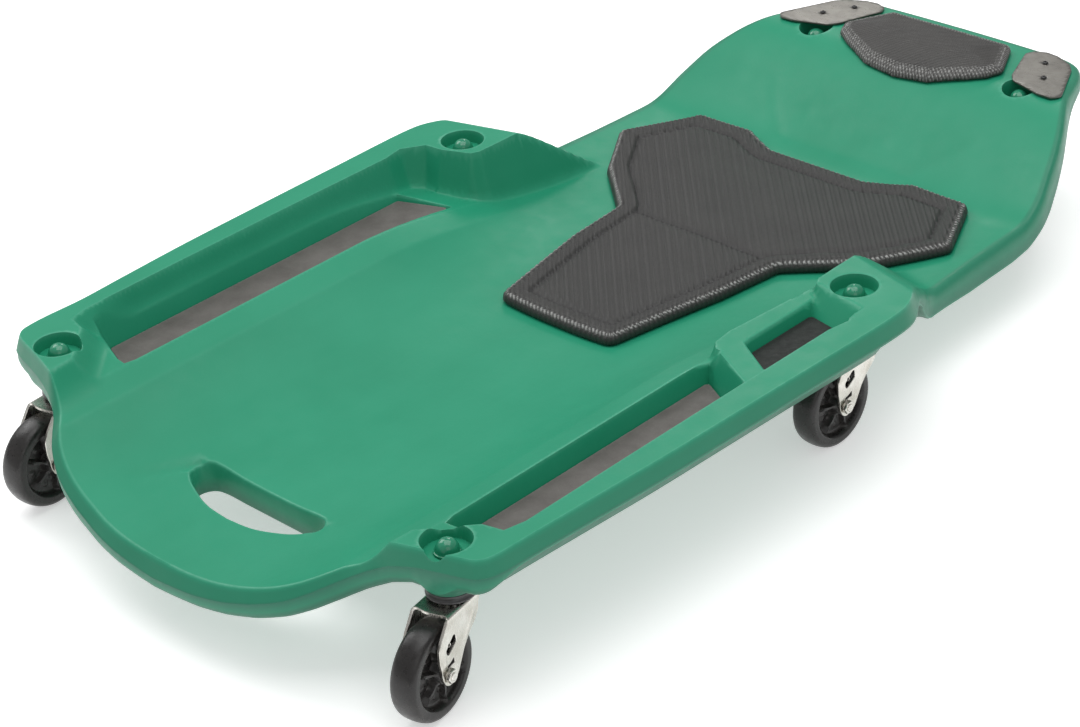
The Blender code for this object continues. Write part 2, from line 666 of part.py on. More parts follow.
def boolean(ob, cutter, op="DIFFERENCE", remove=True):
    m = ob.modifiers.new("b", "BOOLEAN")
    m.operation = op
    m.solver = "EXACT"
    m.object = cutter
    dg = bpy.context.evaluated_depsgraph_get()
    me = bpy.data.meshes.new_from_object(ob.evaluated_get(dg))
    ob.modifiers.clear()
    old = ob.data
    mat = old.materials[0]
    ob.data = me
    me.materials.clear()
    me.materials.append(mat)
    for p in me.polygons:
        p.material_index = 0
    bpy.data.meshes.remove(old)
    if remove:
        bpy.data.objects.remove(cutter, do_unlink=True)


def tidy(ob, dist=1e-6, smooth=None):
    bm = bmesh.new()
    bm.from_mesh(ob.data)
    bmesh.ops.remove_doubles(bm, verts=bm.verts, dist=dist)
    bmesh.ops.dissolve_degenerate(bm, edges=bm.edges, dist=1e-7)
    bmesh.ops.triangulate(bm, faces=[f for f in bm.faces if len(f.verts) > 4])
    bmesh.ops.recalc_face_normals(bm, faces=bm.faces)
    bm.to_mesh(ob.data)
    bm.free()
    if smooth:
        for p in ob.data.polygons:
            p.use_smooth = True
        ob.data.set_sharp_from_angle(angle=math.radians(smooth))


def mirrored(half):
    """Closed counter-clockwise loop from a right-hand half that runs from the foot centre to the head centre."""
    h = np.array(half, float)
    left = h[::-1] * np.array((-1, 1))
    if h[0][0] < 1e-9:
        left = left[:-1]
    if h[-1][0] < 1e-9:
        left = left[1:]
    return np.concatenate((h, left))


# ------------------------------------------------------------------ pads
VINYL = material("black_vinyl", (.018, .018, .020), .5)
BOARD = material("black_board", (.03, .03, .03), .7)
BACK_HALF = [(.063, .3295), (.085, .440), (.0915, .5040), (.149, .553), (.188, .612), (.152, .6845), (.0920, .6870),
             (.052, .6685)]
HEAD_HALF = [(0, .7745), (.035, .7785), (.068, .7935), (.0830, .8030), (.0895, .8180), (.0665, .8630)]


def pad(name, half, radius, rise, step, corner_n):
    loop = rounded([tuple(p) for p in mirrored(half)], radius, corner_n)
    r1 = offset_loop(loop, .0016)
    r2 = offset_loop(loop, .0060)
    r3 = offset_loop(loop, .0125)
    lo, hi = loop.min(0), loop.max(0)
    nx = int(round((hi[0] - lo[0]) / step)) + 1
    ny = int(round((hi[1] - lo[1]) / step)) + 1
    pts = lattice(np.linspace(lo[0], hi[0], nx), np.linspace(lo[1], hi[1], ny))
    pts = pts[poly_sd(pts[:, 0], pts[:, 1], loop) < -.0125 - .35 * step]
    V, F, idx = triangulate([loop, r1, r2, r3], [], pts, loop, [])
    d = np.maximum(-poly_sd(V[:, 0], V[:, 1], loop), 0)
    base = deck_z(V[:, 0], V[:, 1])
    zt = base + .0030 + (rise - .0030) * edge_shape(d / .0125, 2.0)
    V2, F2, idx2 = triangulate([loop, r1, offset_loop(loop, .0066), offset_loop(loop, .0076)], [], pts, loop, [])
    d2 = np.maximum(-poly_sd(V2[:, 0], V2[:, 1], loop), 0)
    base2 = deck_z(V2[:, 0], V2[:, 1])
    zb = base2 + np.where(d2 < 1e-6, .0034, np.where(d2 < .0070, .0018, .0042))
    verts = [(p[0], p[1], z) for p, z in zip(V, zt)]
    remap = {idx2(p): idx(p) for p in loop}
    for i, p in enumerate(V2):
        if i not in remap:
            remap[i] = len(verts)
            verts.append((p[0], p[1], zb[i]))
    faces = [tuple(t) for t in F] + [(remap[t[0]], remap[t[2]], remap[t[1]]) for t in F2]
    ob = new_object(name, verts, faces, VINYL, smooth=40)
    # backing board, cut to sit on the deck
    inner = rounded([tuple(p) for p in offset_loop(mirrored(half), .0086)], .005, 1)
    V, F, idx = triangulate([inner], [], pts, inner, [])
    n = len(V)
    base = deck_z(V[:, 0], V[:, 1])
    verts = [(p[0], p[1], z + .0030) for p, z in zip(V, base)] + [(p[0], p[1], z - .0050) for p, z in zip(V, base)]
    faces = [tuple(t) for t in F] + [(t[0] + n, t[2] + n, t[1] + n) for t in F]
    ids = [idx(p) for p in inner]
    for i in range(len(ids)):
        a, b = ids[i], ids[(i + 1) % len(ids)]
        faces.append((a, a + n, b + n, b))
    board = new_object(name + "_base", verts, faces, BOARD)
    cut = deck.copy()
    cut.data = deck.data.copy()
    bpy.context.scene.collection.objects.link(cut)
    cut.location = (0, 0, .0004)
    bpy.context.view_layer.update()
    boolean(board, cut)
    tidy(board, 2e-6)
    return ob


pad("back_pad", BACK_HALF, .010, .0105, .040, 2)
pad("head_pad", HEAD_HALF, .009, .0120, .026, 2)

# ------------------------------------------------------------------ tray liners
LINER = material("grey_liner", (.30, .27, .265), .62)
MAGNET = material("black_liner", (.02, .02, .021), .55)


def liner(name, tray, mirror, z, mat):
    p = np.array([(mirror * a, b) for a, b in tray])
    area = sum(p[i - 1][0] * p[i][1] - p[i][0] * p[i - 1][1] for i in range(len(p)))
    if area < 0:
        p = p[::-1]
    prism(name, rounded([tuple(q) for q in offset_loop(p, .0008)], .003, 2), z + .0003, z + .0021, mat)


liner("left_tray_liner", TRAY_L, -1, Z_TRAY, LINER)
liner("right_tray_liner", TRAY_R, 1, Z_TRAY, LINER)
liner("small_tray_liner", SMALL, 1, Z_SMALL, MAGNET)

# ------------------------------------------------------------------ corner plates and screws
PLATE = material("grey_steel_plate", (.27, .255, .24), .38, .6)
SCREW = material("black_screw", (.02, .02, .02), .4, .3)
PLATE_PTS = [(.1585, .8080), (.1520, .8005), (.1380, .8010), (.1050, .8110), (.0975, .8200), (.0810, .8635), (.0850, .8725),
             (.0960, .8765), (.1085, .8750), (.1265, .8670), (.1345, .8580), (.1525, .8210)]
for side, sx in (("right", 1), ("left", -1)):
    lp = rounded([(sx * a, b) for a, b in (PLATE_PTS if sx < 0 else PLATE_PTS)], .004, 1)
    area = sum(lp[i - 1][0] * lp[i][1] - lp[i][0] * lp[i - 1][1] for i in range(len(lp)))
    if area < 0:
        lp = lp[::-1]
    hl = [circle(sx * a, b, .0019, 8) for a, b in PLATE_SCREWS]
    prism("corner_plate_" + side, lp, .1318, .1336, PLATE, hl)
    for i, (a, b) in enumerate(PLATE_SCREWS):
        s = revolve("plate_screw_%s_%d" % (side, i + 1),
                    [(0, .1215), (.0015, .1215), (.0015, .1339), (.0036, .1339), (.0036, .1345), (.0026, .1353), (0, .1355)],
                    10, SCREW, closed=False)
        s.location = (sx * a, b, 0)
        s.data.transform(Matrix.Translation((sx * a, b + Y_SHIFT, 0)))
        s.location = (0, 0, 0)

# ------------------------------------------------------------------ casters
ZINC = material("zinc_plated_steel", (.62, .60, .56), .28, 1.0)
CUP = material("black_raceway_steel", (.03, .03, .032), .4, .7)
BALLS = material("bearing_steel", (.55, .55, .56), .2, 1.0)
BLACK = material("black_moulded_wheel", (.022, .020, .020), .42)
CAP = material("green_cap", (.04, .31, .175), .32)
FORK_SIDE = [(-26.0, 83.0), (-28.0, 80.4), (-38.0, 68.2), (-41.2, 62.5), (-41.2, 52.0), (-38.3, 36.0), (-36.0, 31.2),
             (-32.2, 28.8), (-28.0, 29.7), (-21.5, 33.6), (-16.2, 42.0), (-12.0, 49.0), (-6.0, 55.5), (3.0, 63.0),
             (7.8, 69.0), (9.4, 76.0), (13.0, 80.6), (17.0, 83.0)]
FORK_WINDOW = [(-21.0, 68.5), (-20.6, 59.8), (-31.8, 53.0), (-33.2, 58.8)]
FORK_SQUARE = [(-24.6, 49.2), (-24.6, 44.6), (-32.0, 42.6), (-32.4, 45.4)]
FORK_HALF = 0.0157
FORK_T = 0.0024


def side_prism(name, loop, holes, x0, x1, mat):
    """Plate drawn in the Y-Z plane (millimetres), pushed along X."""
    L = np.array(loop, float) / 1000
    if sum(L[i - 1][0] * L[i][1] - L[i][0] * L[i - 1][1] for i in range(len(L))) < 0:
        L = L[::-1]
    H = []
    for h in holes:
        H.append(np.array(h, float) / 1000)
    V, F, idx = triangulate([L] + H, [], [], L, H)
    n = len(V)
    verts = [(x1, p[0] - Y_SHIFT, p[1]) for p in V] + [(x0, p[0] - Y_SHIFT, p[1]) for p in V]
    faces = [tuple(t) for t in F] + [(t[0] + n, t[2] + n, t[1] + n) for t in F]
    for lp in [L] + H:
        ids = [idx(p) for p in lp]
        for i in range(len(ids)):
            a, b = ids[i], ids[(i + 1) % len(ids)]
            faces.append((a, a + n, b + n, b))
    return new_object(name, verts, faces, mat)


def tube_x(name, profile, n, mat, y, z, smooth=35, closed=True):
    """Turned piece about X: profile of (r, x) points."""
    ob = revolve(name, profile, n, mat, smooth, closed)
    ob.data.transform(Matrix.Rotation(math.radians(90), 4, "Y"))
    ob.data.transform(Matrix.Translation((0, y, z)))
    return ob


def make_fork():
    f = side_prism("fork_proto", rounded(FORK_SIDE, [0, 0, 0, 0, 0, 0, 2, 0, 2, 0, 0, 0, 0, 0, 0, 0, 0, 0], 1),
                   [FORK_WINDOW, FORK_SQUARE, circle(-32, 38, 3.4, 10)], -.03, .03, ZINC)
    w, t = FORK_HALF, FORK_T
    outer = rounded([(-w, .02), (w, .02), (w, .083), (-w, .083)], [0, 0, .0030, .0030], 2)
    inner = rounded([(-(w - t), .015), (w - t, .015), (w - t, .083 - t), (-(w - t), .083 - t)], [0, 0, .0012, .0012], 1)
    U = np.concatenate((outer[:1], outer[1:]))
    # inverted channel: outer loop down the right leg, along the top, down the left leg, back along the inside
    outer_path = [p for p in outer if True]
    path = list(outer[1:]) + [outer[0]]
    ins = list(inner[1:]) + [inner[0]]
    chan = path + [np.array((-(w - t), .02))] + [p for p in ins[::-1] if p[1] > .0201] + [np.array((w - t, .02))]
    C = np.array(chan)
    if sum(C[i - 1][0] * C[i][1] - C[i][0] * C[i - 1][1] for i in range(len(C))) < 0:
        C = C[::-1]
    V, F, idx = triangulate([C], [], [], C, [])
    n = len(V)
    verts = [(p[0], -.06 - Y_SHIFT, p[1]) for p in V] + [(p[0], .03 - Y_SHIFT, p[1]) for p in V]
    faces = [tuple(q) for q in F] + [(q[0] + n, q[2] + n, q[1] + n) for q in F]
    ids = [idx(p) for p in C]
    for i in range(len(ids)):
        a, b = ids[i], ids[(i + 1) % len(ids)]
        faces.append((a, a + n, b + n, b))
    u = new_object("fork_chan", verts, faces, ZINC)
    boolean(f, u, "INTERSECT")
    hole = revolve("fork_hole", [(0, .07), (.0045, .07), (.0045, .09), (0, .09)], 12, ZINC, closed=False)
    boolean(f, hole)
    tidy(f, 1e-6, smooth=35)
    return f


def protos():
    p = {}
    p["fork"] = make_fork()
    # tyre and hub in one moulding: rounded tread, side bands, recessed web, long hub
    h, hub = WHEEL_W / 2, .0124
    half = [(.0034, hub), (.0074, hub), (.0098, .0045), (.0262, .0045), (.0290, h), (.0332, h), (.0366, .0070)]
    prof = half + [(WHEEL_R, 0.0)] + [(r, -x) for r, x in half[::-1]]
    p["wheel"] = tube_x("wheel_proto", prof, 20, BLACK, -TRAIL, .038)
    # axle bolt: head, shank, nut in one turned piece
    a = FORK_HALF
    p["axle"] = tube_x("axle_proto", [(0, -a - .0035), (.0052, -a - .0035), (.0056, -a - .0004), (.0030, -a - .0004),
                                      (.0030, a + .0004), (.0056, a + .0004), (.0052, a + .0040), (0, a + .0040)], 10, ZINC,
                       -TRAIL, .038, closed=False)
    p["kingpin"] = revolve("kingpin_proto", [(0, .0752), (.0066, .0752), (.0072, .0765), (.0072, .0801), (.0041, .0801),
                                             (.0041, .1238), (0, .1238)], 12, ZINC, closed=False)
    p["raceway_cup"] = revolve("cup_proto", [(.0050, .0917), (.0050, .0888), (.0162, .0888), (.0172, .0850), (.0186, .0850),
                                             (.0186, .0917)], 16, CUP)
    c, rr = (.0125, .08595), .0025
    ring = [(c[0] + rr * math.cos(t), c[1] + rr * math.sin(t)) for t in [i * math.pi / 3 for i in range(6)]]
    p["ball_ring"] = revolve("ball_proto", ring, 12, BALLS)
    p["cap_nut"] = revolve("cap_proto", [(.0045, .1168), (.0100, .1168), (.0100, .1200), (.0088, .1240), (.0055, .1267),
                                         (0, .1277), (0, .1244), (.0045, .1244)], 14, CAP, closed=True)
    return p


P = protos()
for name, (cx, cy) in CASTERS.items():
    th = SWIVEL[name]
    M = Matrix.Translation((cx, cy + Y_SHIFT, 0)) @ Matrix.Rotation(math.radians(-th), 4, "Z")
    for key, proto in P.items():
        ob = proto.copy()
        ob.data = proto.data.copy()
        ob.data.name = key + "_" + name
        ob.name = key + "_" + name
        bpy.context.scene.collection.objects.link(ob)
        if key == "wheel" or key == "axle":
            hub = M @ Vector((0, -TRAIL, .038))
            ob.data.transform(Matrix.Translation((0, TRAIL, -.038)))
            ob.matrix_world = Matrix.Translation(hub) @ Matrix.Rotation(math.radians(-th), 4, "Z")
        else:
            ob.matrix_world = M
for ob in P.values():
    bpy.data.objects.remove(ob, do_unlink=True)
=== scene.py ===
import bpy
import bmesh
import math
import numpy as np
from mathutils import Vector, Matrix, Euler
from mathutils.geometry import delaunay_2d_cdt
from mathutils.bvhtree import BVHTree


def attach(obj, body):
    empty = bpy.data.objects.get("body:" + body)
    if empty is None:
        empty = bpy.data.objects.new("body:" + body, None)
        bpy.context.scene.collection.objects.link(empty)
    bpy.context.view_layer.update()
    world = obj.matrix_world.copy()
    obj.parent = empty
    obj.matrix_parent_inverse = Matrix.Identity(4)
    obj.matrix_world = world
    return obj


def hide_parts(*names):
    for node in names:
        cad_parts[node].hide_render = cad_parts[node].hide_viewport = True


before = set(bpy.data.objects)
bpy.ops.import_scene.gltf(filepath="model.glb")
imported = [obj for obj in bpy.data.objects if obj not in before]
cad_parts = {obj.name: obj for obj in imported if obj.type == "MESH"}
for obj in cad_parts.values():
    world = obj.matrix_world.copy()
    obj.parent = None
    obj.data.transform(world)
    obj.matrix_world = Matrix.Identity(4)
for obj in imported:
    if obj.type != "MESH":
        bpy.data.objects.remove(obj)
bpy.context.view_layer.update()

# ------------------------------------------------------------------ sizes repeated from the CAD (m)
Y_SHIFT = -0.392          # from the foot caster axes to the middle of the length
CASTER_X = 0.2185         # foot and middle caster axes, either side of the centre line
MID_Y = 0.446             # middle casters, from the foot casters
HEAD_X, HEAD_Y = 0.115, 0.808
Z_TOP = 0.128             # flat tops of the rails and corner blocks
Z_DECK = 0.066            # lowest line of the dished deck
Z_TRAY = 0.0905           # floors of the long trays
Z_SMALL = 0.1065          # floor of the small tray
Z_RIM = 0.118             # rim round the small tray
Z_RECESS = 0.1165         # floor of the bolt recesses
R_RECESS = 0.01875
R_HOLE = 0.0052           # bolt clearance holes
Z_PAD_FACE = 0.092        # faces under the deck that the casters bolt to
R_PAD_FACE = 0.0190
WHEEL_R = 0.038
WHEEL_W = 0.0215
TRAIL = 0.032
SWIVEL = {"foot_right": -11.2, "foot_left": -5.2, "mid_right": -0.7, "mid_left": 4.0,
          "head_right": 6.0, "head_left": -8.0}



# ------------------------------------------------------------------ small maths
def ss(a, b, t):
    u = np.clip((np.asarray(t, float) - a) / (b - a), 0.0, 1.0)
    return u * u * (3.0 - 2.0 * u)


def smax(a, b, k):
    h = np.clip(0.5 + 0.5 * (a - b) / k, 0.0, 1.0)
    return b + (a - b) * h + k * h * (1.0 - h)


def smin(a, b, k):
    return -smax(-a, -b, k)


def seg_dist(x, y, a, b):
    """Distance from points to the segment a-b."""
    ax, ay = a
    dx, dy = b[0] - ax, b[1] - ay
    t = np.clip(((x - ax) * dx + (y - ay) * dy) / (dx * dx + dy * dy + 1e-18), 0, 1)
    return np.hypot(x - ax - t * dx, y - ay - t * dy)


def poly_sd(x, y, poly):
    """Signed distance to a closed polygon, negative inside."""
    x = np.asarray(x, float)
    y = np.asarray(y, float)
    d = np.full(x.shape, 1e9)
    inside = np.zeros(x.shape, bool)
    n = len(poly)
    for i in range(n):
        a, b = poly[i], poly[(i + 1) % n]
        d = np.minimum(d, seg_dist(x, y, a, b))
        if abs(b[1] - a[1]) > 1e-12:
            cond = (a[1] > y) != (b[1] > y)
            xi = a[0] + (y - a[1]) * (b[0] - a[0]) / (b[1] - a[1])
            inside ^= cond & (x < xi)
    return np.where(inside, -d, d)


def spline(points, n):
    """Centripetal curve through the points, n pieces per span."""
    P = [np.array(p, float) for p in points]
    P = [2 * P[0] - P[1]] + P + [2 * P[-1] - P[-2]]
    out = []
    for i in range(1, len(P) - 2):
        p0, p1, p2, p3 = P[i - 1:i + 3]
        t0 = 0.0
        t1 = t0 + max(np.linalg.norm(p1 - p0), 1e-9) ** 0.5
        t2 = t1 + max(np.linalg.norm(p2 - p1), 1e-9) ** 0.5
        t3 = t2 + max(np.linalg.norm(p3 - p2), 1e-9) ** 0.5
        for j in range(n):
            t = t1 + (t2 - t1) * j / n
            a1 = (t1 - t) / (t1 - t0) * p0 + (t - t0) / (t1 - t0) * p1
            a2 = (t2 - t) / (t2 - t1) * p1 + (t - t1) / (t2 - t1) * p2
            a3 = (t3 - t) / (t3 - t2) * p2 + (t - t2) / (t3 - t2) * p3
            b1 = (t2 - t) / (t2 - t0) * a1 + (t - t0) / (t2 - t0) * a2
            b2 = (t3 - t) / (t3 - t1) * a2 + (t - t1) / (t3 - t1) * a3
            out.append((t2 - t) / (t2 - t1) * b1 + (t - t1) / (t2 - t1) * b2)
    out.append(P[-2])
    return np.array(out)


def thin_curve(c, max_len, max_turn):
    """Keep the points of a fine curve needed for a given step and turn."""
    keep = [0]
    d = np.diff(c, axis=0)
    ang = np.unwrap(np.arctan2(d[:, 1], d[:, 0]))
    last_a, length = ang[0], 0.0
    for i in range(1, len(c) - 1):
        length += np.hypot(*(c[i] - c[i - 1]))
        if length >= max_len or abs(ang[i] - last_a) >= max_turn:
            keep.append(i)
            length, last_a = 0.0, ang[i]
    keep.append(len(c) - 1)
    if len(keep) > 2 and np.hypot(*(c[keep[-1]] - c[keep[-2]])) < 0.25 * max_len:
        keep.pop(-2)
    return c[keep]


# ------------------------------------------------------------------ deck plan
HALF = [(0, -.0960), (.0220, -.0957), (.0440, -.0945), (.0640, -.0922), (.0840, -.0884), (.1030, -.0836), (.1200, -.0778),
        (.1345, -.0700), (.1460, -.0605), (.1560, -.0510), (.1670, -.0430), (.1800, -.0365), (.1960, -.0300), (.2250, -.0205),
        (.2450, -.0145), (.2550, -.0105), (.2612, -.0030), (.2640, .0080), (.2650, .0250), (.2662, .0550),
        (.2685, .1000), (.2720, .1700), (.2740, .2500), (.2760, .3400), (.2775, .4250), (.2755, .4450),
        (.2695, .4600), (.2600, .4740), (.2490, .4910), (.2394, .5080), (.2300, .5250), (.2232, .5400),
        (.2209, .5560), (.2193, .5780), (.2176, .6060), (.2152, .6620), (.2136, .6870), (.2097, .7130),
        (.2040, .7310), (.1966, .7520), (.1860, .7750), (.1766, .7920), (.1680, .8070), (.1601, .8220),
        (.1550, .8340), (.1498, .8470), (.1430, .8610), (.1310, .8740), (.1120, .8810), (.0800, .8828),
        (.0400, .8838), (0, .8842)]


# the far foot corner is a little fuller than the near one
HALF_LEFT = HALF[:5] + [(.1030, -.0847), (.1210, -.0800), (.1370, -.0735), (.1510, -.0650), (.1615, -.0555), (.1710, -.0460),
                        (.1825, -.0385), (.1985, -.0320), (.2270, -.0235), (.2475, -.0180), (.2580, -.0135), (.2645, -.0050),
                        (.2668, .0075), (.2672, .0250)] + HALF[19:]


def half_curve(n=10, left=False):
    return spline(HALF_LEFT if left else HALF, n)


_H = half_curve(12)
_ys = _H[:, 1]
_side = (_H[:, 0] > .20) | (_H[:, 1] > .5)
_W_y = np.concatenate(([-.12], _H[_side & (_ys > .0) & (_ys < .868), 1], [.90]))
_W_x = np.concatenate(([.264], _H[_side & (_ys > .0) & (_ys < .868), 0], [.14]))
_o = np.argsort(_W_y)
_W_y, _W_x = _W_y[_o], _W_x[_o]


def half_width(y):
    return np.interp(y, _W_y, _W_x)


def part_z(x, y):
    """Height of the parting line that runs round the rim."""
    ax = np.abs(x)
    nose = np.interp(ax, [0, .045, .075, .10, .125, .142, .156, .174, .19, .21, .26],
                     [.052, .0555, .0600, .0660, .0745, .083, .091, .1015, .109, .1130, .114])
    side = np.interp(y, [0, .30, .44, .470, .485, .496, .508, .520, .531, .541, .60, .662, .687, .701, .713, .731, .742,
                         .754, .777, .792, .805, .820, .831, .846, .90],
                     [.114, .1135, .113, .112, .106, .098, .086, .073, .0635, .0585, .0545, .054, .056, .060, .064, .070, .078,
                      .086, .098, .104, .108, .112, .116, .118, .119])
    b = ss(-.03, .02, y)
    return nose * (1 - b) + side * b


def rim_width(x, y):
    """How far in from the rim the upper wall reaches its full height."""
    ax = np.abs(x)
    nose = np.interp(ax, [0, .13, .15, .17, .20], [.0078, .0078, .0075, .0065, .005])
    side = np.interp(y, [0, .47, .50, .54, .64, .70, .76, .84], [.005, .005, .008, .012, .012, .010, .009, .008])
    b = ss(-.03, .02, y)
    return nose * (1 - b) + side * b


# ------------------------------------------------------------------ heights of the upper face
BLOCK = [(.190, -.070), (.190, -.034), (.192, -.007), (.225, .028), (.2425, .032), (.2465, .050), (.2465, .380),
         (.2500, .400), (.2370, .419), (.2190, .421), (.1930, .431), (.1893, .438), (.1885, .460), (.1875, .560),
         (.3100, .620), (.3100, -.070)]
TRAY_L = [(.1845, .038), (.2325, .056), (.2325, .376), (.1845, .394)]
TRAY_R = [(.1845, .038), (.2325, .056), (.2325, .286), (.1845, .310)]
SMALL = [(.2000, .3410), (.2390, .3190), (.2390, .4075), (.2000, .4150)]
SMALL_LONG = [(.2000, .3410), (.2390, .3190), (.2390, .4440), (.2000, .4440)]
RIM = [(.1765, .345), (.1790, .326), (.1875, .3165), (.2465, .2890), (.3100, .2890), (.3100, .440), (.1840, .440),
       (.1822, .412)]
HEAD_N = (.257, .966)


def deck_z(x, y):
    ax = np.minimum(np.abs(x), .178)
    dish = .030 * (np.minimum(ax, .155) / .148) ** 2.6 + .35 * np.maximum(ax - .155, 0)
    lift = .009 * (1 - ss(.70, .82, y)) + .004 * np.exp(-((y - .735) / .028) ** 2)
    flat = lift * np.minimum(np.abs(x) / half_width(y), 1) ** 6
    b = ss(.28, .56, y)
    return Z_DECK + .002 * ss(.30, .60, y) + .063 * ss(.672, .812, y) + (1 - b) * dish + b * flat


def top_z(x, y, k=1.0):
    """Upper face before the rim is rounded off."""
    x = np.asarray(x, float)
    y = np.asarray(y, float)
    ax = np.abs(x)
    z = deck_z(x, y)
    sd = poly_sd(ax, y, BLOCK)
    slope = 1.25 + (3.2 - 1.25) * ss(.045, .10, y)
    crown = .002 * np.exp(-((y - .21) / .11) ** 2)
    mesa = Z_TOP + crown - slope * np.maximum(sd, 0)
    h = (ax - .183) * HEAD_N[0] + (y - .485) * HEAD_N[1]
    mesa = smin(mesa, Z_TOP - .56 * np.maximum(h, 0), .002 * k)
    mesa = smin(mesa, .1225 - .85 * (h - .0105), .003 * k)
    z = smax(z, mesa, .008 * k)
    right = x > 0
    rim = Z_RIM - 3.0 * np.maximum(poly_sd(ax, y, RIM), 0)
    z = np.where(right, smax(z, rim, .004 * k), z)
    for poly, floor, sel in ((TRAY_L, Z_TRAY, ~right), (TRAY_R, Z_TRAY, right), (SMALL_LONG, Z_SMALL, right)):
        p = floor + 3.2 * np.maximum(poly_sd(ax, y, poly), 0)
        if poly is SMALL_LONG:                 # its head end is a long slope up to the block
            p = np.maximum(p, floor + 1.4 * np.maximum((ax - .2390) * .189 + (y - .4075) * .982, 0))
        z = np.where(sel, smin(z, p, .0024 * k), z)
    return z


CASTERS = {"foot_right": (CASTER_X, 0.0), "foot_left": (-CASTER_X, 0.0), "mid_right": (CASTER_X, MID_Y),
           "mid_left": (-CASTER_X, MID_Y), "head_right": (HEAD_X, HEAD_Y), "head_left": (-HEAD_X, HEAD_Y)}
PLATE_SCREWS = [(.1246, .8300), (.1080, .8560)]


def edge_shape(t, n=3.4):
    t = np.clip(t, 0, 1)
    return (1 - (1 - t) ** n) ** (1 / n)


def wall_shape(t, x, y):
    """Upper wall: a straight draft with a crisp top edge round the foot end, rounder along the rails and the head."""
    t = np.asarray(t, float)
    k = 1 - ss(.46, .52, y)
    straight = np.clip(smin(np.clip(t, 0, 2) * 1.06, 1.0, .07), 0, 1)
    return straight * k + edge_shape(t) * (1 - k)


def band_drop(x, y):
    """Height of the band under the parting line."""
    ax = np.abs(x)
    nose = np.interp(ax, [0, .045, .075, .10, .125, .142, .156, .174, .19, .21], [.0100, .0110, .0120, .0130, .0138, .0150, .0155, .0150, .0145, .0140])
    steep = np.maximum(1 - ss(-.01, .03, y), 0)
    return nose * steep + .0035 * (1 - steep)


def under_z(x, y):
    """Lower face before the rim band is added: clear of the casters' full swivel circles."""
    ax = np.abs(x)
    out = ss(.36, .42, y)
    shelf = .048 + .037 * ss(.128 + .022 * out, .158 + .028 * out, ax) * (1 - ss(.49, .545, y))
    block = np.maximum((1 - ss(.012, .028, y)), ss(.424, .438, y) * (1 - ss(.49, .53, y))) * ss(.178, .196, ax)
    z = shelf + .012 * block
    for cx, cy in ((CASTER_X, 0.0), (CASTER_X, MID_Y)):
        r = np.hypot(ax - cx, y - cy)
        z = np.maximum(z, np.interp(r, [0, .034, .040, .047, .053, .059, .065, .070, .078],
                                    [.0865, .0865, .0815, .0795, .0765, .0715, .065, .056, .040]))
    z = np.maximum(z, .048 + .052 * ss(.68, .745, y))
    z = np.maximum(z, .0925 - .50 * np.maximum(np.hypot(ax - CASTER_X, y) - .062, 0) - .9 * np.maximum(y, 0))
    return z


def pad_face(x, y, z):
    for cx, cy in CASTERS.values():
        r = np.hypot(x - cx, y - cy)
        z = np.minimum(z, Z_PAD_FACE + 1.6 * np.maximum(r - R_PAD_FACE, 0))
        z = np.where(r < R_PAD_FACE + 1e-6, Z_PAD_FACE, z)
    return z



# ------------------------------------------------------------------ mesh helpers
def offset_loop(loop, d):
    """Closed loop (counter-clockwise) moved inwards by d (array or number)."""
    nxt = np.roll(loop, -1, axis=0)
    prv = np.roll(loop, 1, axis=0)
    t1 = loop - prv
    t2 = nxt - loop
    t1 /= np.linalg.norm(t1, axis=1)[:, None]
    t2 /= np.linalg.norm(t2, axis=1)[:, None]
    n1 = np.stack((-t1[:, 1], t1[:, 0]), 1)
    n2 = np.stack((-t2[:, 1], t2[:, 0]), 1)
    n = n1 + n2
    n /= np.linalg.norm(n, axis=1)[:, None]
    c = np.maximum((n * n1).sum(1), .5)
    return loop + n * (np.asarray(d) / c)[:, None] if np.ndim(d) else loop + n * (d / c)[:, None]


def circle(cx, cy, r, n, ph=0.0):
    a = np.arange(n) * 2 * math.pi / n + ph
    return np.stack((cx + r * np.cos(a), cy + r * np.sin(a)), 1)


def triangulate(loops, lines, points, outer, holes):
    """Constrained triangulation: closed loops, open lines and loose points, kept inside outer and outside holes."""
    co, edges, srcs = [], [], []
    index = {}

    def add(p):
        key = (round(float(p[0]), 7), round(float(p[1]), 7))
        if key not in index:
            index[key] = len(co)
            co.append(Vector((float(p[0]), float(p[1]))))
            srcs.append((float(p[0]), float(p[1])))
        return index[key]

    for lp in loops:
        ids = [add(p) for p in lp]
        edges += [(ids[i], ids[(i + 1) % len(ids)]) for i in range(len(ids)) if ids[i] != ids[(i + 1) % len(ids)]]
    for ln in lines:
        ids = [add(p) for p in ln]
        edges += [(ids[i], ids[i + 1]) for i in range(len(ids) - 1) if ids[i] != ids[i + 1]]
    for p in points:
        add(p)
    v, _, f, ov, _, _ = delaunay_2d_cdt(co, edges, [], 0, 1e-7)
    V = np.array([[p.x, p.y] for p in v])
    for o, src in enumerate(ov):
        if src:
            V[o] = srcs[src[0]]
    where = {i: o for o, src in enumerate(ov) for i in src}
    F = np.array([t for t in f if len(t) == 3], int)
    c = V[F].mean(1)
    ok = poly_sd(c[:, 0], c[:, 1], outer) < 0
    for h in holes:
        ok &= poly_sd(c[:, 0], c[:, 1], h) > 0
    return V, F[ok], (lambda p: where[index[(round(float(p[0]), 7), round(float(p[1]), 7))]])


def lattice(xs, ys):
    gx, gy = np.meshgrid(xs, ys)
    return np.stack((gx.ravel(), gy.ravel()), 1)


def dense_line(a, b, step):
    n = max(1, int(round(math.hypot(b[0] - a[0], b[1] - a[1]) / step)))
    return [(a[0] + (b[0] - a[0]) * i / n, a[1] + (b[1] - a[1]) * i / n) for i in range(n + 1)]


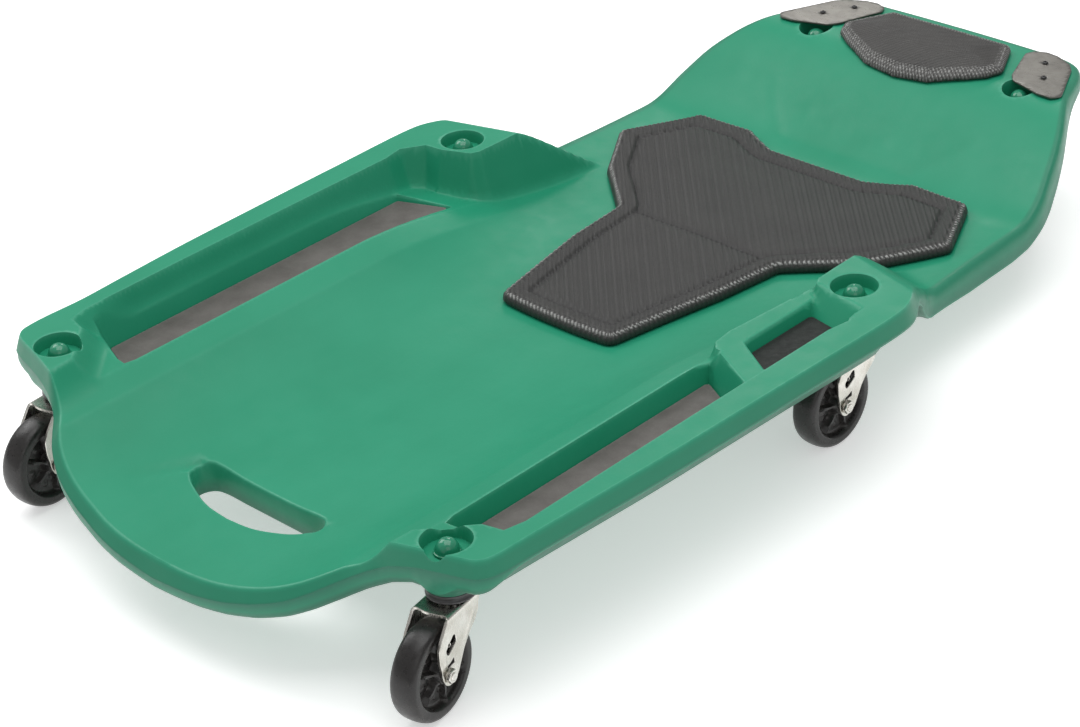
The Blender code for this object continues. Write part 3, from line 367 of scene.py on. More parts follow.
def slot_loop(n):
    """Handle slot: straight edge to the head, bowed edge to the foot."""
    pts = [(.0, .0200), (.030, .0200), (.056, .0200), (.0640, .0180), (.0685, .0120), (.0690, .0060), (.0660, -.0005),
           (.0590, -.0062), (.0450, -.0125), (.0250, -.0188), (.0, -.0212)]
    r = spline(pts, n)
    left = r[1:-1][::-1] * np.array((-1, 1))
    loop = np.concatenate((r, left))
    return loop[::-1]                       # counter-clockwise seen from above


def deck_outline(max_len, max_turn):
    h = thin_curve(half_curve(16), max_len, max_turn)
    left = thin_curve(half_curve(16, True), max_len, max_turn)[1:-1][::-1] * np.array((-1, 1))
    return np.concatenate((h, left))


def raw_z(x, y):
    """Upper face without its pockets, used to find where their walls come out."""
    ax = np.abs(x)
    z = deck_z(x, y)
    sd = poly_sd(ax, y, BLOCK)
    slope = 1.25 + 1.95 * ss(.045, .10, y)
    h = (ax - .183) * HEAD_N[0] + (y - .485) * HEAD_N[1]
    mesa = np.minimum(np.minimum(Z_TOP - slope * np.maximum(sd, 0), Z_TOP - .56 * np.maximum(h, 0)), .1225 - .85 * (h - .0105))
    rim = np.where(x > 0, Z_RIM - 3.0 * np.maximum(poly_sd(ax, y, RIM), 0), -1)
    return np.maximum(np.maximum(z, mesa), rim)


def walk(Q, D, reach, step, rising):
    """From each point of Q along D to the first place where rising(point, distance) holds."""
    Q, D = np.array(Q, float), np.array(D, float)
    S = np.arange(0, reach, step)
    X = Q[:, None, 0] + D[:, None, 0] * S[None]
    Y = Q[:, None, 1] + D[:, None, 1] * S[None]
    hit = rising(X, Y, np.broadcast_to(S[None], X.shape))
    k = np.where(hit.any(1), hit.argmax(1), len(S) - 1)
    return Q + D * S[k][:, None]


def rim_line(poly, floor, mirror, step):
    """Loop where the walls of a pocket reach the face above."""
    p = np.array([(mirror * a, b) for a, b in poly])
    if ((np.roll(p[:, 0], -1) - p[:, 0]) * (np.roll(p[:, 1], -1) + p[:, 1])).sum() > 0:
        p = p[::-1]
    Q, D = [], []
    n = len(p)
    for i in range(n):
        a, b, c = p[i - 1], p[i], p[(i + 1) % n]
        t1, t2 = (b - a) / np.linalg.norm(b - a), (c - b) / np.linalg.norm(c - b)
        n1, n2 = np.array((t1[1], -t1[0])), np.array((t2[1], -t2[0]))
        Q.append(b)
        D.append((n1 + n2) / np.linalg.norm(n1 + n2))
        m = max(2, int(round(np.linalg.norm(c - b) / step)))
        for j in range(1, m):
            Q.append(b + (c - b) * j / m)
            D.append(n2)
    return walk(Q, D, .03, .0004, lambda x, y, s: floor + 3.2 * s >= raw_z(x, y))


def foot_line(poly, i0, i1, mirror, top, slope, step):
    """Line where the slope below part of a polygon's edge meets the deck."""
    Q, D, K = [], [], []
    for i in range(i0, i1):
        a, b = np.array(poly[i]), np.array(poly[i + 1])
        t = (b - a) / np.linalg.norm(b - a)
        nrm = np.array((-t[1], t[0]))
        if float(poly_sd(*((a + b) / 2 + nrm * 1e-4), poly)) < 0:
            nrm = -nrm
        m = max(1, int(round(np.linalg.norm(b - a) / step)))
        for j in range(m + (i == i1 - 1)):
            q = a + (b - a) * j / m
            Q.append(q)
            D.append(nrm)
    k = slope(0)
    w = walk(Q, D, .05, .0005, lambda x, y, s: top - k * s <= deck_z(x, y))
    return np.stack((mirror * w[:, 0], w[:, 1]), 1)


# ------------------------------------------------------------------ materials from nodes
class Mat:
    """A Principled material built from nodes, in object space metres."""

    def __init__(self, name, rough=.5, metal=0.0, **sockets):
        self.m = bpy.data.materials.new(name)
        self.m.use_nodes = True
        self.t = self.m.node_tree
        self.b = self.t.nodes["Principled BSDF"]
        self.b.inputs["Roughness"].default_value = rough
        self.b.inputs["Metallic"].default_value = metal
        for k, v in sockets.items():
            self.b.inputs[k.replace("_", " ")].default_value = v
        self.co = self.t.nodes.new("ShaderNodeTexCoord").outputs["Object"]

    def link(self, a, b):
        self.t.links.new(a, b)

    def mapped(self, rot=(0, 0, 0), scale=(1, 1, 1), loc=(0, 0, 0)):
        n = self.t.nodes.new("ShaderNodeMapping")
        n.inputs["Rotation"].default_value = rot
        n.inputs["Scale"].default_value = scale
        n.inputs["Location"].default_value = loc
        self.link(self.co, n.inputs["Vector"])
        return n.outputs["Vector"]

    def noise(self, scale, detail=2.0, rough=.5, co=None, dist=0.0):
        n = self.t.nodes.new("ShaderNodeTexNoise")
        n.inputs["Scale"].default_value = scale
        n.inputs["Detail"].default_value = detail
        n.inputs["Roughness"].default_value = rough
        n.inputs["Distortion"].default_value = dist
        self.link(co or self.co, n.inputs["Vector"])
        return n.outputs["Fac"]

    def voronoi(self, scale, co=None, feature="F1"):
        n = self.t.nodes.new("ShaderNodeTexVoronoi")
        n.feature = feature
        n.inputs["Scale"].default_value = scale
        self.link(co or self.co, n.inputs["Vector"])
        return n.outputs["Distance"]

    def wave(self, scale, co=None, direction="X", dist=0.0, profile="SIN"):
        n = self.t.nodes.new("ShaderNodeTexWave")
        n.bands_direction = direction
        n.wave_profile = profile
        n.inputs["Scale"].default_value = scale
        n.inputs["Distortion"].default_value = dist
        n.inputs["Detail"].default_value = 1.0
        self.link(co or self.co, n.inputs["Vector"])
        return n.outputs["Fac"]

    def attr(self, name):
        n = self.t.nodes.new("ShaderNodeAttribute")
        n.attribute_name = name
        return n.outputs["Fac"]

    def ranged(self, v, a, b, c, d, smooth=False):
        n = self.t.nodes.new("ShaderNodeMapRange")
        if smooth:
            n.interpolation_type = "SMOOTHSTEP"
        for i, x in zip(("From Min", "From Max", "To Min", "To Max"), (a, b, c, d)):
            n.inputs[i].default_value = x
        self.link(v, n.inputs["Value"])
        return n.outputs["Result"]

    def math(self, op, a, b=None, clamp=False):
        n = self.t.nodes.new("ShaderNodeMath")
        n.operation = op
        n.use_clamp = clamp
        for i, x in enumerate((a, b)):
            if x is None:
                continue
            if isinstance(x, (int, float)):
                n.inputs[i].default_value = x
            else:
                self.link(x, n.inputs[i])
        return n.outputs[0]

    def ramp(self, v, *stops):
        n = self.t.nodes.new("ShaderNodeValToRGB")
        e = n.color_ramp.elements
        while len(e) < len(stops):
            e.new(.5)
        for el, (p, c) in zip(e, stops):
            el.position = p
            el.color = (c[0], c[1], c[2], 1.0)
        self.link(v, n.inputs["Fac"])
        return n.outputs["Color"]

    def mix(self, f, a, b):
        n = self.t.nodes.new("ShaderNodeMix")
        n.data_type = "RGBA"
        if isinstance(f, (int, float)):
            n.inputs["Factor"].default_value = f
        else:
            self.link(f, n.inputs["Factor"])
        for s, x in ((n.inputs[6], a), (n.inputs[7], b)):
            if isinstance(x, tuple):
                s.default_value = (x[0], x[1], x[2], 1.0)
            else:
                self.link(x, s)
        return n.outputs[2]

    def color(self, c):
        self.link(c, self.b.inputs["Base Color"])

    def rough(self, v):
        self.link(v, self.b.inputs["Roughness"])

    def bump(self, *layers):
        """layers of (height, strength, distance)."""
        last = None
        for h, s, d in layers:
            n = self.t.nodes.new("ShaderNodeBump")
            n.inputs["Strength"].default_value = s
            n.inputs["Distance"].default_value = d
            self.link(h, n.inputs["Height"])
            if last is not None:
                self.link(last, n.inputs["Normal"])
            last = n.outputs["Normal"]
        self.link(last, self.b.inputs["Normal"])
        return self.m


def green_plastic():
    m = Mat("moulded_green_plastic", .42, Specular_IOR_Level=.30)
    cloud = m.noise(9.0, 3.0, .55)
    speck = m.noise(900.0, 2.0, .6)
    flow = m.noise(38.0, 4.0, .55, m.mapped(scale=(1.0, .22, 1.0)))
    base = m.ramp(cloud, (.30, (.013, .272, .148)), (.70, (.020, .304, .170)))
    base = m.mix(m.ranged(flow, .35, .75, 0.0, .22), base, (.034, .330, .195))
    base = m.mix(m.ranged(speck, .62, .80, 0.0, .18), base, (.060, .38, .25))
    wear = m.math("MULTIPLY", m.attr("wear"), m.ranged(m.noise(140.0, 3.0, .6), .35, .65, .55, 1.0), True)
    base = m.mix(m.math("MULTIPLY", wear, .42), base, (.120, .470, .320))
    # painted shade: the parting groove is darkened (attribute part)
    base = m.mix(m.math("MULTIPLY", m.attr("part"), .55), base, (.030, .150, .105))
    # painted shade: the outer upper walls, the band under the parting line and the underside are darkened (attribute
    # low)
    base = m.mix(m.math("MULTIPLY", m.attr("low"), .78), base, (.026, .112, .072))
    m.color(base)
    r = m.ranged(m.noise(60.0, 4.0, .6), .3, .7, .36, .47)
    m.rough(m.math("SUBTRACT", r, m.math("MULTIPLY", wear, .06)))
    grain = m.noise(1700.0, 2.0, .55)
    orange = m.noise(260.0, 2.0, .5)
    return m.bump((orange, .10, .0006), (grain, .16, .00016))


def cap_plastic():
    m = Mat("gloss_green_plastic", .16, Specular_IOR_Level=.6)
    m.color(m.ramp(m.noise(120.0, 3.0), (.3, (.014, .215, .118)), (.7, (.028, .285, .160))))
    m.rough(m.ranged(m.noise(500.0, 3.0), .3, .7, .10, .20))
    return m.bump((m.noise(1500.0, 2.0), .10, .0001),)


def carbon_vinyl(name, rot, tint):
    """Twill-look vinyl: a fine bead weave along the moulded ribs, with grain and a soft sheen."""
    m = Mat(name, .44, Specular_IOR_Level=.42, Sheen_Weight=.03, Sheen_Roughness=.5)
    co = m.mapped(rot=(0, 0, rot))
    bead = m.wave(1.0 / .0019 / 6.2832 * 3.14159, co, "X")
    rib = m.wave(1.0 / .0040 / 6.2832 * 3.14159, co, "Y")
    weave = m.math("MULTIPLY", bead, rib)
    fibre = m.noise(1.0, 2.0, .5, m.mapped(rot=(0, 0, rot), scale=(900.0, 4200.0, 900.0)))
    cloud = m.noise(24.0, 3.0, .55)
    c = m.ramp(cloud, (.30, (tint[0] * .86, tint[1] * .86, tint[2] * .86)), (.72, (tint[0] * 1.12, tint[1] * 1.12, tint[2] * 1.10)))
    c = m.mix(m.ranged(bead, .2, .8, 0.0, .32), c, (tint[0] * .55, tint[1] * .55, tint[2] * .57))
    # painted shade: the valleys between the ribs are darkened (attribute groove)
    c = m.mix(m.math("MULTIPLY", m.attr("groove"), .95, True), c, (.008, .008, .009))
    # painted shade: the welded seam groove, the cross seam and the edge crease are darkened (attribute seam)
    c = m.mix(m.math("MULTIPLY", m.attr("seam"), .55, True), c, (.016, .016, .017))
    # lighter rib crests round the edge roll: rubbing wear and painted highlight
    c = m.mix(m.math("MULTIPLY", m.attr("wear"), .30, True), c, (.16, .158, .150))
    # painted highlight: bright glint dashes along the pad edges
    c = m.mix(m.math("MULTIPLY", m.attr("glint"), .85, True), c, (.46, .46, .45))
    m.color(c)
    m.rough(m.ranged(m.noise(700.0, 3.0, .6), .3, .7, .38, .54))
    return m.bump((weave, .35, .00045), (fibre, .18, .0001), (m.noise(160.0, 2.0), .12, .0006))


def thread_mat():
    m = Mat("charcoal_thread", .6, Sheen_Weight=.3)
    m.color(m.ramp(m.noise(2500.0, 2.0), (.3, (.030, .030, .030)), (.7, (.085, .083, .080))))
    return m.bump((m.wave(900.0, m.mapped(rot=(0, 0, .6))), .4, .0002),)


def rubber(name, a, b, rough, worn):
    m = Mat(name, rough, Specular_IOR_Level=.45)
    c = m.ramp(m.noise(45.0, 4.0, .6), (.3, a), (.7, b))
    c = m.mix(m.ranged(m.noise(700.0, 2.0), .58, .8, 0.0, .35), c, worn)
    c = m.mix(m.math("MULTIPLY", m.attr("wear"), .45, True), c, worn)
    m.color(c)
    m.rough(m.ranged(m.noise(210.0, 3.0), .3, .7, rough - .08, rough + .09))
    return m.bump((m.noise(1300.0, 3.0, .6), .28, .00022), (m.noise(90.0, 2.0), .08, .0006))


def sheet_metal(name, a, b, rough, metal, brushed=(0, 0, 0), stretch=(60.0, 2600.0, 2600.0), edge=(.75, .74, .70), dark=(.1, .1, .1)):
    """Sheet steel with rolling marks, cloudy plating and a colour on its edges: bright worn edges on most pieces, a
    near-black painted shade line on the corner plates.
    """
    m = Mat(name, rough, metal, Specular_IOR_Level=.5)
    c = m.ramp(m.noise(70.0, 4.0, .6, None, .3), (.32, a), (.68, b))
    c = m.mix(m.ranged(m.noise(420.0, 3.0, .6), .60, .78, 0.0, .30), c, dark)
    c = m.mix(m.math("MULTIPLY", m.attr("wear"), .6, True), c, edge)
    m.color(c)
    lines = m.noise(1.0, 2.0, .5, m.mapped(rot=brushed, scale=stretch))
    m.rough(m.ranged(lines, .3, .7, rough - .07, rough + .10))
    return m.bump((lines, .10, .00012), (m.noise(330.0, 2.0), .10, .0003))


def board_mat():
    m = Mat("black_fibre_board", .7)
    m.color(m.ramp(m.noise(300.0, 4.0, .6), (.3, (.014, .013, .012)), (.7, (.040, .037, .034))))
    return m.bump((m.voronoi(900.0), .4, .0003),)


M_GREEN = green_plastic()
M_CAP = cap_plastic()
M_BACK = carbon_vinyl("twill_vinyl_back", math.radians(45), (.034, .0335, .032))
M_HEAD = carbon_vinyl("twill_vinyl_head", math.radians(-45), (.058, .056, .053))
M_THREAD = thread_mat()
M_LINER = rubber("grey_tray_rubber", (.105, .094, .088), (.150, .136, .128), .62, (.22, .20, .19))
M_MAGNET = rubber("black_tray_rubber", (.003, .005, .004), (.008, .011, .009), .62, (.03, .034, .03))
M_WHEEL = rubber("black_wheel_plastic", (.012, .011, .011), (.026, .024, .023), .31, (.085, .078, .072))
# the plate's edges are near-black: a painted shade line along its rim
M_PLATE = sheet_metal("satin_plate_steel", (.25, .238, .215), (.33, .315, .285), .34, .75, (0, 0, math.radians(38)), edge=(.05, .05, .048))
M_ZINC = sheet_metal("zinc_plated_steel_fork", (.56, .535, .48), (.74, .725, .68), .27, 1.0, (0, 0, 0), (2200.0, 500.0, 70.0),
                     (.90, .88, .84), (.33, .30, .26))
M_CUP = sheet_metal("black_raceway_paint", (.016, .016, .017), (.036, .036, .038), .38, .4, (0, 0, 0), (900.0, 900.0, 2600.0),
                    (.16, .16, .16), (.05, .045, .04))
M_BALL = sheet_metal("bearing_ball_steel", (.58, .58, .60), (.72, .72, .74), .16, 1.0, (0, 0, 0), (900.0, 900.0, 900.0))
M_SCREW = sheet_metal("black_oxide_screw", (.012, .012, .013), (.030, .030, .031), .36, .5, (0, 0, 0), (1500.0, 1500.0, 1500.0),
                      (.14, .14, .14), (.04, .04, .04))
M_BOARD = board_mat()


# ------------------------------------------------------------------ pieces
def wear_of(V, F, scale):
    """0..1 on outward (convex) edges, from how far each vertex stands off its neighbours."""
    V = np.asarray(V, float)
    tri = np.array([(f[0], f[i], f[i + 1]) for f in F for i in range(1, len(f) - 1)], int)
    fn = np.cross(V[tri[:, 1]] - V[tri[:, 0]], V[tri[:, 2]] - V[tri[:, 0]])
    n = np.zeros_like(V)
    for k in range(3):
        np.add.at(n, tri[:, k], fn)
    n /= np.maximum(np.linalg.norm(n, axis=1), 1e-12)[:, None]
    e = np.concatenate((tri[:, (0, 1)], tri[:, (1, 2)], tri[:, (2, 0)]))
    e = np.concatenate((e, e[:, ::-1]))
    d = V[e[:, 1]] - V[e[:, 0]]
    l2 = np.maximum((d ** 2).sum(1), 1e-10)
    k = -(d * n[e[:, 0]]).sum(1) / l2            # curvature along each edge, positive where convex
    s = np.zeros(len(V))
    c = np.zeros(len(V))
    np.add.at(s, e[:, 0], np.maximum(k, 0))
    np.add.at(c, e[:, 0], 1.0)
    return np.clip(s / np.maximum(c, 1) / scale, 0, 1)


def make(name, V, F, mat, body, repl=(), smooth=35, attrs=None, wear=None, shift=True):
    V = np.array(V, float)
    if shift:
        V = V + np.array((0, Y_SHIFT, 0))
    F = [tuple(int(i) for i in f) for f in F]
    me = bpy.data.meshes.new(name)
    me.from_pydata(V.tolist(), [], F)
    given = dict(attrs or {})
    if wear:
        given["wear"] = wear_of(V, F, wear)
    for k, a in given.items():
        at = me.attributes.new(k, "FLOAT", "POINT")
        at.data.foreach_set("value", np.asarray(a, np.float32))
    bm = bmesh.new()
    bm.from_mesh(me)
    bmesh.ops.recalc_face_normals(bm, faces=bm.faces)
    bm.to_mesh(me)
    bm.free()
    me.materials.append(mat.m if isinstance(mat, Mat) else mat)
    me.shade_smooth()
    if smooth:
        me.set_sharp_from_angle(angle=math.radians(smooth))
    ob = bpy.data.objects.new(name, me)
    bpy.context.scene.collection.objects.link(ob)
    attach(ob, body)
    if repl:
        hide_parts(*repl)
    return ob


def keep_clear(pts, lines, gap):
    """Loose points that stay at least gap from the given polylines."""
    ok = np.ones(len(pts), bool)
    for ln in lines:
        ln = np.asarray(ln, float)
        lo, hi = ln.min(0) - gap, ln.max(0) + gap
        near = np.flatnonzero(ok & (pts[:, 0] > lo[0]) & (pts[:, 0] < hi[0]) & (pts[:, 1] > lo[1]) & (pts[:, 1] < hi[1]))
        if not len(near):
            continue
        q = pts[near]
        for a, b in zip(ln[:-1], ln[1:]):
            d = seg_dist(q[:, 0], q[:, 1], a, b)
            ok[near[d < gap]] = False
    return pts[ok]


def closed(loop):
    return np.concatenate((loop, loop[:1]))


# ------------------------------------------------------------------ deck
def deck_detail(x, y, z):
    """Small forms on the deck: scoops that run from the slot's ends to the foot edge, and a faint crease by the head pad."""
    for sx in (-1, 1):
        p, q = (sx * .0700, .0105), (sx * .0930, -.0440)
        g = seg_dist(x, y, p, q)
        along = np.clip(((x - p[0]) * (q[0] - p[0]) + (y - p[1]) * (q[1] - p[1])) / ((q[0] - p[0]) ** 2 + (q[1] - p[1]) ** 2), 0, 1)
        w = .0085 - .0030 * along
        z = z - (.0030 if sx < 0 else .0016) * (1 - along) ** 1.2 * (1 - ss(.15, 1, g / w))
    for a, b in (((-.112, .742), (-.072, .700)), ((-.072, .700), (.072, .700)), ((.072, .700), (.112, .742))):
        s = seg_dist(x, y, a, b)
        z = z - .0007 * np.exp(-(s / .005) ** 2)
    for cx, cy in ((.060, .727), (-.060, .727), (.030, .722), (-.030, .722)):
        z = z - .0006 * np.exp(-(np.hypot(x - cx, y - cy) / .006) ** 2)
    return z


def build_deck_fine():
    out = deck_outline(.0042, math.radians(3.5))
    rimw = rim_width(out[:, 0], out[:, 1])
    slot = slot_loop(7)
    holes = {k: circle(c[0], c[1], R_HOLE, 28) for k, c in CASTERS.items()}
    rings = [offset_loop(out, rimw * t) for t in (.03, .09, .18, .30, .45, .62, .81, 1.0, 1.22)]
    slot_rings = [offset_loop(slot, -d) for d in (.0004, .0010, .0018, .0027, .0036, .0050)]
    rec = []
    bowl = {k: (.0150 if "head" in k else R_RECESS) for k in CASTERS}
    for k, c in CASTERS.items():
        for dr in (-.0016, -.0010, -.0006, -.0002, .0003, .0009):
            rec.append(circle(c[0], c[1], bowl[k] + dr, 64))
    lines = []
    for sx, tray in ((1, TRAY_R), (-1, TRAY_L), (1, SMALL)):
        p = np.array([(sx * a, b) for a, b in tray])
        if sum(p[i - 1][0] * p[i][1] - p[i][0] * p[i - 1][1] for i in range(4)) < 0:
            p = p[::-1]
        dense = np.concatenate([dense_line(p[i], p[(i + 1) % 4], .005)[:-1] for i in range(4)])
        lines += [closed(offset_loop(dense, d)) for d in (.0011, 0.0, -.0011)]
    for sx in (1, -1):
        b = [(sx * a, c) for a, c in BLOCK[2:14]]
        for i in range(len(b) - 1):
            lines.append(dense_line(b[i], b[i + 1], .005))
    rims = [rim_line(TRAY_R, Z_TRAY, 1, .005), rim_line(TRAY_L, Z_TRAY, -1, .005), rim_line(SMALL, Z_SMALL, 1, .005)]
    for r in rims:
        lines += [closed(offset_loop(r, d)) for d in (-.0011, 0.0, .0011)]
    lines.append(foot_line(BLOCK, 9, 13, -1, Z_TOP, lambda y: 3.2, .005))
    lines.append(foot_line(BLOCK, 10, 13, 1, Z_TOP, lambda y: 3.2, .005))
    r = [RIM[i] for i in (7, 0, 1, 2, 3)]
    for i in range(4):
        lines.append(dense_line(r[i], r[i + 1], .005))
    lines.append(foot_line(RIM[7:] + RIM[:4], 0, 3, 1, Z_RIM, lambda y: 3.0, .005))
    h0, hd = np.array((.183, .485)), np.array((.966, -.257))
    for sx in (1, -1):
        for off in (-.0012, 0.0, .0012, .0105):
            q = [h0 + np.array(HEAD_N) * off + hd * t for t in np.linspace(.004 if off > .002 else 0.0, .076, 16)]
            lines.append([(sx * p[0], p[1]) for p in q])
    fx = np.arange(.1500, .2790, .0023)
    fy = np.arange(-.047, .560, .0023)
    fine = np.concatenate([lattice(sx * fx, fy) for sx in (1, -1)])
    fine[:, 0] += np.where((np.round(fine[:, 1] / .0023).astype(int) % 2) == 0, .00115, 0.0) * np.sign(fine[:, 0])
    mid = lattice(np.arange(-.148, .1485, .0052), np.arange(-.094, .56, .0052))
    head = lattice(np.arange(-.234, .2345, .0046), np.arange(.563, .88, .0046))
    pts = np.concatenate((fine, mid, head))
    d = poly_sd(pts[:, 0], pts[:, 1], rings[-1])
    pts = pts[d < -.0013]
    for lp, gap in [(slot, .006)] + [(circle(c[0], c[1], bowl[k] + .0009, 40), .0011) for k, c in CASTERS.items()]:
        near = np.hypot(pts[:, 0] - lp[:, 0].mean(), pts[:, 1] - lp[:, 1].mean()) < .09
        sd = np.ones(len(pts))
        sd[near] = poly_sd(pts[near, 0], pts[near, 1], lp)
        pts = pts[(sd > gap) | (sd < -.0030)] if gap < .005 else pts[sd > gap]
    for c in CASTERS.values():
        pts = pts[np.hypot(pts[:, 0] - c[0], pts[:, 1] - c[1]) > R_HOLE + .0015]
    pts = keep_clear(pts, lines, .0009)
    hole_list = [slot] + list(holes.values())
    V, F, top_id = triangulate([out] + rings + [slot] + slot_rings + rec + list(holes.values()), lines, pts, out, hole_list)
    x, y = V[:, 0], V[:, 1]
    d_out = np.maximum(-poly_sd(x, y, out), 0)
    zt = deck_detail(x, y, top_z(x, y))
    for k, c in CASTERS.items():
        r = np.hypot(x - c[0], y - c[1])
        cut = Z_RECESS + 9.0 * np.maximum(r - (bowl[k] - .0009), 0)
        zt = np.where(r < bowl[k] + .004, smin(zt, cut, .0009), zt)
    zp = part_z(x, y)
    t = d_out / rim_width(x, y)
    zt = np.where(t < 1.3, zp + (zt - zp) * wall_shape(t, x, y), zt)
    d_slot = np.abs(poly_sd(x, y, slot))
    zm = .056
    zt = np.where(d_slot < .0046, zm + (zt - zm) * edge_shape(d_slot / .0034, 4.5), zt)
    top = np.stack((x, y, zt), 1)
    # painted shade along the parting groove
    part = np.where(d_out < .010, 1 - ss(.0004, .0017, np.abs(zt - zp)), 0.0)
    # painted shade: darkens the upper walls of the rim towards their foot
    wall = .55 * (1 - ss(.70, .98, t)) * (t < 1)
    # lower face
    ub = [offset_loop(out, dd) for dd in (.0005, .0014, .0034, .0048, .009, .015, .022)]
    us = [offset_loop(slot, -dd) for dd in (.0006, .0015, .003)]
    pods = []
    for c in CASTERS.values():
        pods += [circle(c[0], c[1], R_PAD_FACE + dd, 40) for dd in (0, .0008, .0022)]
    q = lattice(np.arange(-.272, .2725, .0068), np.arange(-.095, .88, .0068))
    q = q[poly_sd(q[:, 0], q[:, 1], ub[-1]) < -.003]
    q = q[poly_sd(q[:, 0], q[:, 1], slot) > .007]
    for c in CASTERS.values():
        q = q[np.hypot(q[:, 0] - c[0], q[:, 1] - c[1]) > R_PAD_FACE + .005]
    V2, F2, low_id = triangulate([out] + ub + [slot] + us + pods + list(holes.values()), [], q, out,
                                 [slot] + list(holes.values()))
    x, y = V2[:, 0], V2[:, 1]
    d = np.maximum(-poly_sd(x, y, out), 0)
    zb = under_z(x, y)
    zp = part_z(x, y)
    band = zp - edge_shape(np.minimum(d, .0034) / .0034, 2.0) * band_drop(x, y)
    far = ss(.004, .027, d)
    level = np.where(d <= .004, band, band * (1 - far) + zb * far)
    level = np.where((zb < zp) & (y > .03), np.maximum(level, zb), level)
    level = np.where((y > .52) & (y < .66) & (d > 1e-6), np.minimum(level, zp - .0005), level)
    zb = pad_face(x, y, level)
    zt2 = top_z(x, y)
    t = d / rim_width(x, y)
    zt2 = np.where(t < 1, zp + (zt2 - zp) * wall_shape(t, x, y), zt2)
    pod = np.zeros(len(x), bool)
    for c in CASTERS.values():
        pod |= np.hypot(x - c[0], y - c[1]) < R_PAD_FACE + 1e-5
    zb = np.where((d > .0035) & ~pod, np.minimum(zb, zt2 - .005), zb)
    d_slot = np.abs(poly_sd(x, y, slot))
    zb = np.where(d_slot < .016, np.minimum(zb, .048 - .0065 * (1 - ss(.007, .016, d_slot))), zb)
    zb = np.where(d_slot < .003, zm - (zm - zb) * edge_shape(d_slot / .003), zb)
    zb = np.where(d < 1e-6, zp, zb)
    # painted shade: the band just under the parting line is half darkened, the rest of the underside fully
    low = np.where(d > .0012, 1.0, .5)
    low = np.where(d < 1e-6, 0.0, low)
    verts = [tuple(p) for p in top]
    faces = [tuple(f) for f in F]
    parting_shade_a, painted_shade_a = list(part), list(wall)
    shared = {low_id(p): top_id(p) for p in np.concatenate((out, slot))}
    remap = {}
    for i in range(len(V2)):
        if i in shared:
            remap[i] = shared[i]
        else:
            remap[i] = len(verts)
            verts.append((x[i], y[i], zb[i]))
            parting_shade_a.append(0.0)
            painted_shade_a.append(low[i])
    faces += [(remap[f[0]], remap[f[2]], remap[f[1]]) for f in F2]
    for lp in holes.values():
        ids = [(top_id(p), remap[low_id(p)]) for p in lp]
        for i in range(len(ids)):
            a, b = ids[i], ids[(i + 1) % len(ids)]
            faces.append((a[0], b[0], b[1], a[1]))
    # the two halves of the moulding meet in a narrow groove, darkened in the colour as painted shade
    V = np.array(verts)
    n = len(out)
    ring = offset_loop(out, .0007)
    for p, w in zip(out, ring):
        i = top_id(p)
        V[i, 0], V[i, 1] = w
        parting_shade_a[i] = 1.0
    used = np.unique(np.concatenate([np.array(f) for f in faces]))
    back = -np.ones(len(V), int)
    back[used] = np.arange(len(used))
    faces = [tuple(back[i] for i in f) for f in faces]
    return V[used], faces, np.array(parting_shade_a)[used], np.array(painted_shade_a)[used]


V, F, PARTING_SHADE, WALL_UNDERSIDE_SHADE = build_deck_fine()
make("deck_moulding", V, F, M_GREEN, "deck", ["deck_body"], 50, {"part": PARTING_SHADE, "low": WALL_UNDERSIDE_SHADE}, 90.0)


# ------------------------------------------------------------------ pads
BACK_HALF = [(.063, .3295), (.085, .440), (.0915, .5040), (.149, .553), (.188, .612), (.152, .6845), (.0920, .6870),
             (.052, .6685)]
HEAD_HALF = [(0, .7745), (.035, .7785), (.068, .7935), (.0830, .8030), (.0895, .8180), (.0665, .8630)]


def mirrored(half):
    h = np.array(half, float)
    left = h[::-1] * np.array((-1, 1))
    if h[0][0] < 1e-9:
        left = left[:-1]
    if h[-1][0] < 1e-9:
        left = left[1:]
    return np.concatenate((h, left))


def rounded(poly, r, n=4):
    """Polygon with rounded corners (list of (x, y)); r may be a list."""
    out = []
    m = len(poly)
    for i in range(m):
        rr = r[i] if isinstance(r, (list, tuple)) else r
        p = np.array(poly[i], float)
        a = np.array(poly[i - 1], float) - p
        b = np.array(poly[(i + 1) % m], float) - p
        la, lb = np.linalg.norm(a), np.linalg.norm(b)
        a, b = a / la, b / lb
        half = math.acos(max(-1, min(1, float(a @ b)))) / 2
        if rr <= 0 or half > math.radians(87):
            out.append(p)
            continue
        t = min(rr / math.tan(half), la * .48, lb * .48)
        rr = t * math.tan(half)
        c = p + (a + b) / np.linalg.norm(a + b) * (rr / math.sin(half))
        s, e = p + a * t, p + b * t
        a0 = math.atan2(*(s - c)[::-1])
        a1 = math.atan2(*(e - c)[::-1])
        d = (a1 - a0 + math.pi) % (2 * math.pi) - math.pi
        for j in range(n + 1):
            out.append(c + rr * np.array((math.cos(a0 + d * j / n), math.sin(a0 + d * j / n))))
    return np.array(out)


def resample(loop, step):
    lp = closed(np.asarray(loop, float))
    s = np.concatenate(((0,), np.cumsum(np.hypot(*np.diff(lp, axis=0).T))))
    n = int(round(s[-1] / step))
    t = np.linspace(0, s[-1], n, endpoint=False)
    return np.stack((np.interp(t, s, lp[:, 0]), np.interp(t, s, lp[:, 1])), 1)


